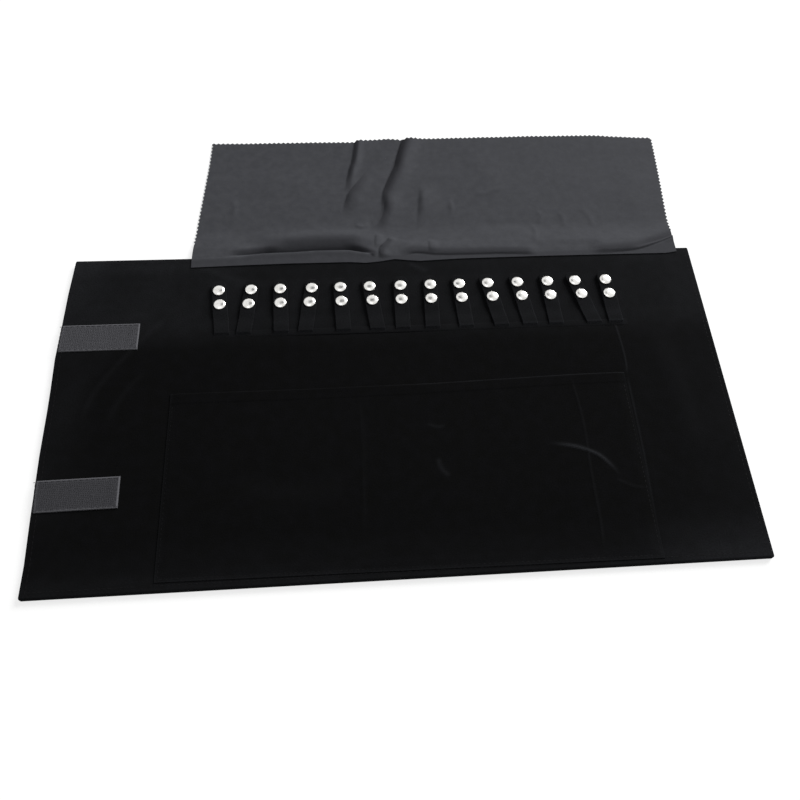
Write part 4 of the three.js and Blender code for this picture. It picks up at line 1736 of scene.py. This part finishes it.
@dataclass
class ClosureTapes:
    """The hook strips on the closing section and the loop strips on the back."""

    layout: Layout
    panel: Panel
    edge: float = 1.6
    edge_steps: tuple[float, ...] = (0, 0.15, 0.4, 0.8)
    edge_roll: float = 0.4
    selvage: float = 0.22
    ripple: float = 0.06
    # The hook tapes are sewn on a little askew: the shift along and across, and the turn.
    askew: dict[str, tuple[float, float, float]] = field(
        default_factory=lambda: {"hook_strip_upper": (0.5, -1.2, 0.0), "hook_strip_lower": (-0.6, -1.4, 0.02)}
    )
    # How far a hook tape's outer end is cut back from the panel's edge.
    cut_back: float = 1.7
    hook_pitch: tuple[float, float] = (1.5, 1.35)
    loop_pitch: tuple[float, float] = (1.3, 1.35)
    tape_thickness: float = 0.9
    # How deep a hook tape is sewn into the pile.
    sunk: float = 0.2
    # The loop tapes lie in the back's recesses, with their loops hanging from the underside.
    loop_underside: float = 0.28
    loop_top: float = 0.78
    loop_root: float = 0.33
    # How far hooks and loops are shaken out of line and turned.
    shake: float = 0.14
    turn: float = 0.35
    hook_radius: float = 0.13
    loop_radius: float = 0.1
    seed: int = 61

    def laid(self, node: str, x: Array, y: Array) -> Pair:
        """Where a tape's places lie, with its end drawn out as far as the panel's edge.

        Args:
            node: The tape's CAD node.
            x, y: Places along and across the roll.

        Returns:
            The new x and y.
        """
        if node not in self.askew:
            return x, y
        along, across, turn = self.askew[node]
        middle = (self.layout.boxes[node][0] + self.layout.boxes[node][1]) / 2
        lay_x, lay_y = x + along - turn * (y - middle.y), y + across + turn * (x - middle.x)
        return lay_x + self.panel.bowed(x, y), lay_y

    def lines(self, low: float, high: float) -> Array:
        """A tape's grid lines from edge to edge, close together at both."""
        steps = np.array(self.edge_steps)
        inside = spaced(low + self.edge, high - self.edge, 1.0)
        return np.concatenate([low + steps, inside, high - steps[::-1]])

    def tape(self, name: str, node: str, low_z: float, high_z: float, finish: Finish) -> Piece:
        """A woven tape with soft edges.

        Args:
            name: The piece's name.
            node: The CAD node that it stands for.
            low_z: Its underside.
            high_z: Its top.
            finish: Its finish.

        Returns:
            The tape.
        """
        low, high = (corner.copy() for corner in self.layout.boxes[node])
        if node in self.askew:
            low.x += self.cut_back
        x, y = np.meshgrid(self.lines(low.x, high.x), self.lines(low.y, high.y))
        from_edge = np.minimum.reduce((x - low.x, high.x - x, y - low.y, high.y - y))
        roll = rolled(from_edge, self.edge_roll)
        selvage = self.selvage * np.exp(-(((from_edge - 0.9) / 0.5) ** 2))
        wave = self.ripple * soft_noise(self.seed, 8, x, y)
        up = np.full(x.shape, high_z) - roll + selvage + wave
        down = np.full(x.shape, low_z)
        if finish.slot is Slot.LOOP_TAPE:
            up, down = np.full(x.shape, high_z), low_z + roll
        # The paler border: the woven selvage, with a painted highlight along its edge.
        pale = np.exp(-(((from_edge - 0.4) / 0.6) ** 2))
        x, y = self.laid(node, x, y)
        return slab(name, points(x, y, up), points(x, y, down), finish, pale)

    def spread(self, node: str, pitch: tuple[float, float], z: float) -> Pair:
        """Even places over a tape, a little shaken.

        Args:
            node: The tape's CAD node.
            pitch: The spacing along and across.
            z: The height.

        Returns:
            The places and headings.
        """
        low, high = self.layout.boxes[node]
        margin = self.edge + 0.9
        along = np.arange(low.x + margin, high.x - margin, pitch[0])
        x, y = np.meshgrid(along, np.arange(low.y + margin, high.y - margin, pitch[1]))
        random = np.random.default_rng(self.seed)
        shake = random.uniform(-self.shake, self.shake, (2, *x.shape))
        back_and_forth = np.where(np.arange(x.shape[0])[:, None] % 2 == 0, 0.0, math.pi)
        headings = back_and_forth + random.uniform(-self.turn, self.turn, x.shape)
        x, y = self.laid(node, x, y)
        places = points(x + shake[0], y + shake[1], z)
        return places.reshape(-1, 3), headings.ravel()

    def hook(self) -> Shape:
        """One nylon hook, bent over at its top."""
        side = ((0, -0.1), (0, 0.22), (0.08, 0.38), (0.3, 0.47), (0.54, 0.4), (0.6, 0.26))
        return tube(np.array([(x, 0, z) for x, z in side]), self.hook_radius, 5)

    def loop(self) -> Shape:
        """One loop of yarn, hanging below the tape."""
        path = np.array([(0.45 * math.cos(a), 0, -0.2 * math.sin(a)) for a in np.linspace(0, math.pi, 6)])
        return tube(path, self.loop_radius, 4)

    def build(self) -> None:
        """Makes both pairs of tapes."""
        for place, finish in (("upper", UPPER_HOOK_TAPE), ("lower", SHADED_LOWER_HOOK_TAPE)):
            node = f"hook_strip_{place}"
            base = self.layout.boxes[node][0].z - self.sunk
            top = base + self.tape_thickness
            tape = self.tape(f"hook_tape_{place}", node, base, top, finish)
            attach(tape, Section.CLOSING.body)
            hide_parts(node)
            hooks = scattered(self.hook(), *self.spread(node, self.hook_pitch, top))
            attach(new_piece(f"hooks_{place}", *hooks, finish), Section.CLOSING.body)
            node = f"loop_strip_{place}"
            under, top = self.loop_underside, self.loop_top
            tape = self.tape(f"loop_tape_{place}", node, under, top, LOOP_TAPE)
            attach(tape, Section.MIDDLE.body)
            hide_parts(node)
            loops = scattered(self.loop(), *self.spread(node, self.loop_pitch, self.loop_root))
            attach(new_piece(f"loops_{place}", *loops, LOOP_TAPE), Section.MIDDLE.body)
            LOG.info("made the %s tapes", place)


class Thread(Enum):
    """The thread that a row is sewn with."""

    BLACK = "black"
    GREY = "grey"

    @property
    def finish(self) -> Finish:
        """The thread's finish."""
        return BLACK_THREAD if self is Thread.BLACK else GREY_THREAD


@dataclass
class Stitching:
    """Rows of sewing thread, each stitch riding on the section that it is sewn to."""

    layout: Layout
    panel: Panel
    tapes: ClosureTapes
    pitch: float = 3.6
    length: float = 2.9
    radius: float = 0.2
    fold_margin: float = 3.6
    # How far a row lies inside the edge of the panel, the pocket, a hook tape and a loop tape.
    panel_inset: float = 4.2
    pocket_inset: float = 2.0
    hook_inset: float = 1.3
    loop_inset: float = 1.5
    # How deep it is drawn into the velvet, and its height over the pocket's seam, a hook tape and the back.
    sunk: float = 0.12
    pocket_height: float = 0.16
    hook_height: float = 0.82
    back_height: float = 0.3
    made: dict[tuple[Section, Thread], list[Shape]] = field(default_factory=dict)

    def stitch(self) -> Shape:
        """One stitch, dipping into the cloth at both ends."""
        side = ((-1, -0.3), (-0.8, 0), (0, 0.06), (0.8, 0), (1, -0.3))
        return tube(np.array([(share * self.length / 2, 0, z) for share, z in side]), self.radius, 6)

    def row(
        self,
        line: Path,
        height: Callable[[Array, Array], Array],
        thread: Thread = Thread.BLACK,
        below: bool = False,
        lay: Callable[[Array, Array], Pair] | None = None,
    ) -> None:
        """Sews along a line.

        Args:
            line: Its corners, in order.
            height: The cloth's height at each place.
            thread: Which thread it is.
            below: Whether the stitches show on the underside.
            lay: Where the cloth's places lie, if they were moved.
        """
        for (x0, y0), (x1, y1) in zip(line, line[1:]):
            run = math.hypot(x1 - x0, y1 - y0)
            at = np.arange(self.pitch / 2, run, self.pitch) / run
            x, y = x0 + at * (x1 - x0), y0 + at * (y1 - y0)
            folds = self.layout.folds.values()
            clear = np.all([np.abs(x - fold) > self.fold_margin for fold in folds], axis=0)
            heading = math.atan2(y1 - y0, x1 - x0)
            for section in Section:
                left, right = self.layout.held_by(section)
                mine = clear & (x > left) & (x < right)
                if not mine.any():
                    continue
                vertices, faces = self.stitch()
                if below:
                    vertices = vertices * np.array([1, -1, -1])
                lay_x, lay_y = lay(x[mine], y[mine]) if lay else (x[mine], y[mine])
                places = np.stack([lay_x, lay_y, height(x[mine], y[mine])], axis=1)
                stitches = scattered((vertices, faces), places, heading)
                self.made.setdefault((section, thread), []).append(stitches)

    def level(self, z: float) -> Callable[[Array, Array], Array]:
        """A cloth that lies flat at one height."""
        return lambda x, y: np.full(x.shape, z)

    def framed(self, low: Vector, high: Vector, inset: float) -> Path:
        """The corners of a rectangle, drawn in from a node's box."""
        left, right, front, rear = low.x + inset, high.x - inset, low.y + inset, high.y - inset
        return ((left, front), (right, front), (right, rear), (left, rear), (left, front))

    def build(self) -> None:
        """Sews the panel's edges, the pocket, the tapes and the welt."""
        layout, boxes = self.layout, self.layout.boxes
        inset, seam = self.panel_inset, self.pocket_inset
        left, right = layout.left + inset, layout.right - inset
        front, rear = layout.front + inset, layout.rear - inset

        def on_velvet(x: Array, y: Array) -> Array:
            """The height of a row that is drawn into the velvet."""
            return layout.top + self.panel.relief(x, y)[0] - self.sunk

        flap_left = boxes["base_flap"][0].x - 4
        upper, lower = boxes["hook_strip_upper"], boxes["hook_strip_lower"]
        for line in (
            ((left, front), (right, front), (right, rear)),
            ((flap_left, rear), (left, rear), (left, upper[1].y + 1)),
            ((left, upper[0].y - 1), (left, lower[1].y + 1)),
            ((left, lower[0].y - 1), (left, front)),
        ):
            self.row(line, on_velvet, lay=self.panel.laid)
        back = self.level(self.back_height)
        whole = (Vector((layout.left, layout.front, 0)), Vector((layout.right, layout.rear, 0)))
        self.row(self.framed(*whole, inset), back, below=True, lay=self.panel.laid)
        for place in ("upper", "lower"):
            node = f"hook_strip_{place}"
            frame = self.framed(*boxes[node], self.hook_inset)
            height = self.level(boxes[node][0].z + self.hook_height)
            self.row(frame, height, Thread.GREY, lay=partial(self.tapes.laid, node))
            frame = self.framed(*boxes[f"loop_strip_{place}"], self.loop_inset)
            self.row(frame, back, below=True)
        low, high = layout.whole("pocket")
        west, east, south = low.x + seam, high.x - seam, low.y + seam
        sides = ((west, high.y - 8), (west, south), (east, south), (east, high.y - 6))
        self.row(sides, self.level(low.z + self.pocket_height))
        for (section, thread), shapes in self.made.items():
            name = f"stitches_{section.value}_{thread.value}"
            piece = new_piece(name, *joined(shapes), thread.finish)
            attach(piece, section.body)
        LOG.info("sewed %d lengths of stitching", len(self.made))


@dataclass(frozen=True)
class Studio:
    """The pale floor, soft lamps and the camera at the photograph's angle."""

    camera_at: tuple[float, float, float] = (-28.2, -267.6, 504.3)
    looks_at: tuple[float, float, float] = (2.97, 0.79, 0.0)
    roll: float = 0.065
    focal_pixels: float = 783.1
    frame_pixels: float = 800.0
    sensor: float = 36.0
    floor_size: float = 12000.0
    floor_z: float = -0.02
    floor_colour: str = "#b4b4b4"
    # How far the floor glows where it is seen, on top of the light that falls on it.
    floor_glow: float = 0.72
    surround: float = 0.14
    white: str = "#ffffff"
    flag_at: tuple[float, float, float] = (0.0, 700.0, 1100.0)
    flag_size: float = 420.0
    flag_colour: str = "#8a8a8c"

    def build_camera(self) -> None:
        """Places the camera."""
        data = bpy.data.cameras.new("camera")
        data.sensor_width = self.sensor
        data.lens = self.focal_pixels * self.sensor / self.frame_pixels
        data.clip_start, data.clip_end = 0.01, 50
        camera = bpy.data.objects.new("camera", data)
        bpy.context.scene.collection.objects.link(camera)
        at = Vector(self.camera_at) * MM
        ahead = (Vector(self.looks_at) * MM - at).normalized()
        right = ahead.cross(Vector((0, 0, 1))).normalized()
        up = right.cross(ahead)
        turned_right = math.cos(self.roll) * right + math.sin(self.roll) * up
        turned_up = math.cos(self.roll) * up - math.sin(self.roll) * right
        frame = Matrix((turned_right, turned_up, -ahead)).transposed().to_4x4()
        camera.matrix_world = Matrix.Translation(at) @ frame
        bpy.context.scene.camera = camera

    def seen(self, tree: Tree) -> bpy.types.NodeSocket:
        """Tells the rays that show the surround to the camera, in metal or through glass.

        Args:
            tree: The node tree.

        Returns:
            A socket that is 1 for those rays, and otherwise 0.
        """
        ray = add_node(tree, "LightPath")
        shown = ray["Is Camera Ray"]
        for kind in ("Is Glossy Ray", "Is Transmission Ray"):
            links = {0: shown, 1: ray[kind]}
            shown = add_node(tree, "Math", {"operation": "MAXIMUM"}, links)["Value"]
        return shown

    def add_card(self, name: str, size: float, material: bpy.types.Material) -> Piece:
        """Adds a flat square around the origin that is part of the stage.

        Args:
            name: Its name.
            size: The length of its side.
            material: Its material.

        Returns:
            The card.
        """
        half = size / 2 * MM
        corners = [(-half, -half, 0), (half, -half, 0), (half, half, 0), (-half, half, 0)]
        mesh = bpy.data.meshes.new(name)
        mesh.from_pydata(corners, [], [[0, 1, 2, 3]])
        mesh.materials.append(material)
        card = bpy.data.objects.new(name, mesh)
        bpy.context.scene.collection.objects.link(card)
        return card

    def build_floor(self) -> None:
        """Lays a white floor that keeps the roll's shadow."""
        # Matt paper: it takes the shadow softly, and glows to a clean white where it is seen.
        material = bpy.data.materials.new("white_paper_sweep")
        tree = cleared_tree(material)
        settings = {"operation": "MULTIPLY", 1: self.floor_glow}
        glow = add_node(tree, "Math", settings, {0: self.seen(tree)})["Value"]
        light = add_node(tree, "Emission", {"Color": linear(self.white)}, {"Strength": glow})
        paper = add_node(tree, "BsdfDiffuse", {"Color": linear(self.floor_colour)})
        links = {0: light["Emission"], 1: paper["BSDF"]}
        both = add_node(tree, "AddShader", links=links)
        add_node(tree, "OutputMaterial", links={"Surface": both["Shader"]})
        self.add_card("floor", self.floor_size, material).location.z = self.floor_z * MM

    def build_flag(self) -> None:
        """Hangs a grey card above the rear edge, which only the polished snaps show."""
        # Grey card: an even grey in every reflection, whatever light falls on it.
        material = bpy.data.materials.new("grey_card")
        tree = cleared_tree(material)
        grey = add_node(tree, "Emission", {"Color": linear(self.flag_colour), "Strength": 1.0})
        add_node(tree, "OutputMaterial", links={"Surface": grey["Emission"]})
        flag = self.add_card("flag", self.flag_size, material)
        flag.location = Vector(self.flag_at) * MM
        flag.visible_camera = flag.visible_diffuse = flag.visible_shadow = False

    def build_world(self) -> None:
        """Surrounds the roll with white, seen at full strength and lighting at a plain level."""
        world = bpy.data.worlds.new("white_surround")
        tree = cleared_tree(world)
        span = {"To Min": self.surround, "To Max": 1.0}
        strength = add_node(tree, "MapRange", span, {"Value": self.seen(tree)})["Result"]
        settings = {"Color": linear(self.white)}
        light = add_node(tree, "Background", settings, {"Strength": strength})
        add_node(tree, "OutputWorld", links={"Surface": light["Background"]})
        bpy.context.scene.world = world

    def add_lamp(self, name: str, place: tuple[float, float, float], size: float, power: float) -> None:
        """Hangs one square soft lamp that faces the roll.

        Args:
            name: Its name.
            place: Where it hangs, in millimetres.
            size: The length of its side.
            power: Its power in watts.
        """
        data = bpy.data.lights.new(name, "AREA")
        data.size = size * MM
        data.energy = power
        lamp = bpy.data.objects.new(name, data)
        bpy.context.scene.collection.objects.link(lamp)
        lamp.location = Vector(place) * MM
        lamp.rotation_euler = (-lamp.location).to_track_quat("-Z", "Y").to_euler()

    def build(self) -> None:
        """Sets the scene."""
        self.build_camera()
        self.build_floor()
        self.build_flag()
        self.build_world()
        self.add_lamp("key_softbox", (2500, 2500, 1900), 2400, 200.0)
        self.add_lamp("top_softbox", (-300, -400, 1600), 900, 3.5)
        bpy.context.scene.view_settings.view_transform = "Standard"


def main() -> None:
    """Builds the roll's looks, piece by piece."""
    logging.basicConfig(level=logging.INFO, format="%(name)s: %(message)s")
    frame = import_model()
    layout = Layout.read(frame["nodes"])
    joints = {joint["name"]: joint for joint in frame["joints"]}
    Studio().build()
    panel = Panel(layout)
    panel.build_velvet()
    panel.build_back()
    Pocket(layout).build()
    Welt(layout).build()
    SnapStraps(layout, joints).build()
    snap_low, snap_high = layout.boxes["snap_pair_07"]
    snaps_y = (snap_low.y + snap_high.y) / 2
    hinge_y, sewn_y = (joints[name]["pos_m"][1] / MM for name in ("flap_fold", "strap_07_open"))
    CoverFlap(layout, hinge_y, snaps_y, 2 * hinge_y - 2 * sewn_y + snaps_y).build()
    tapes = ClosureTapes(layout, panel)
    tapes.build()
    Stitching(layout, panel, tapes).build()


if __name__ == "__main__":
    main()
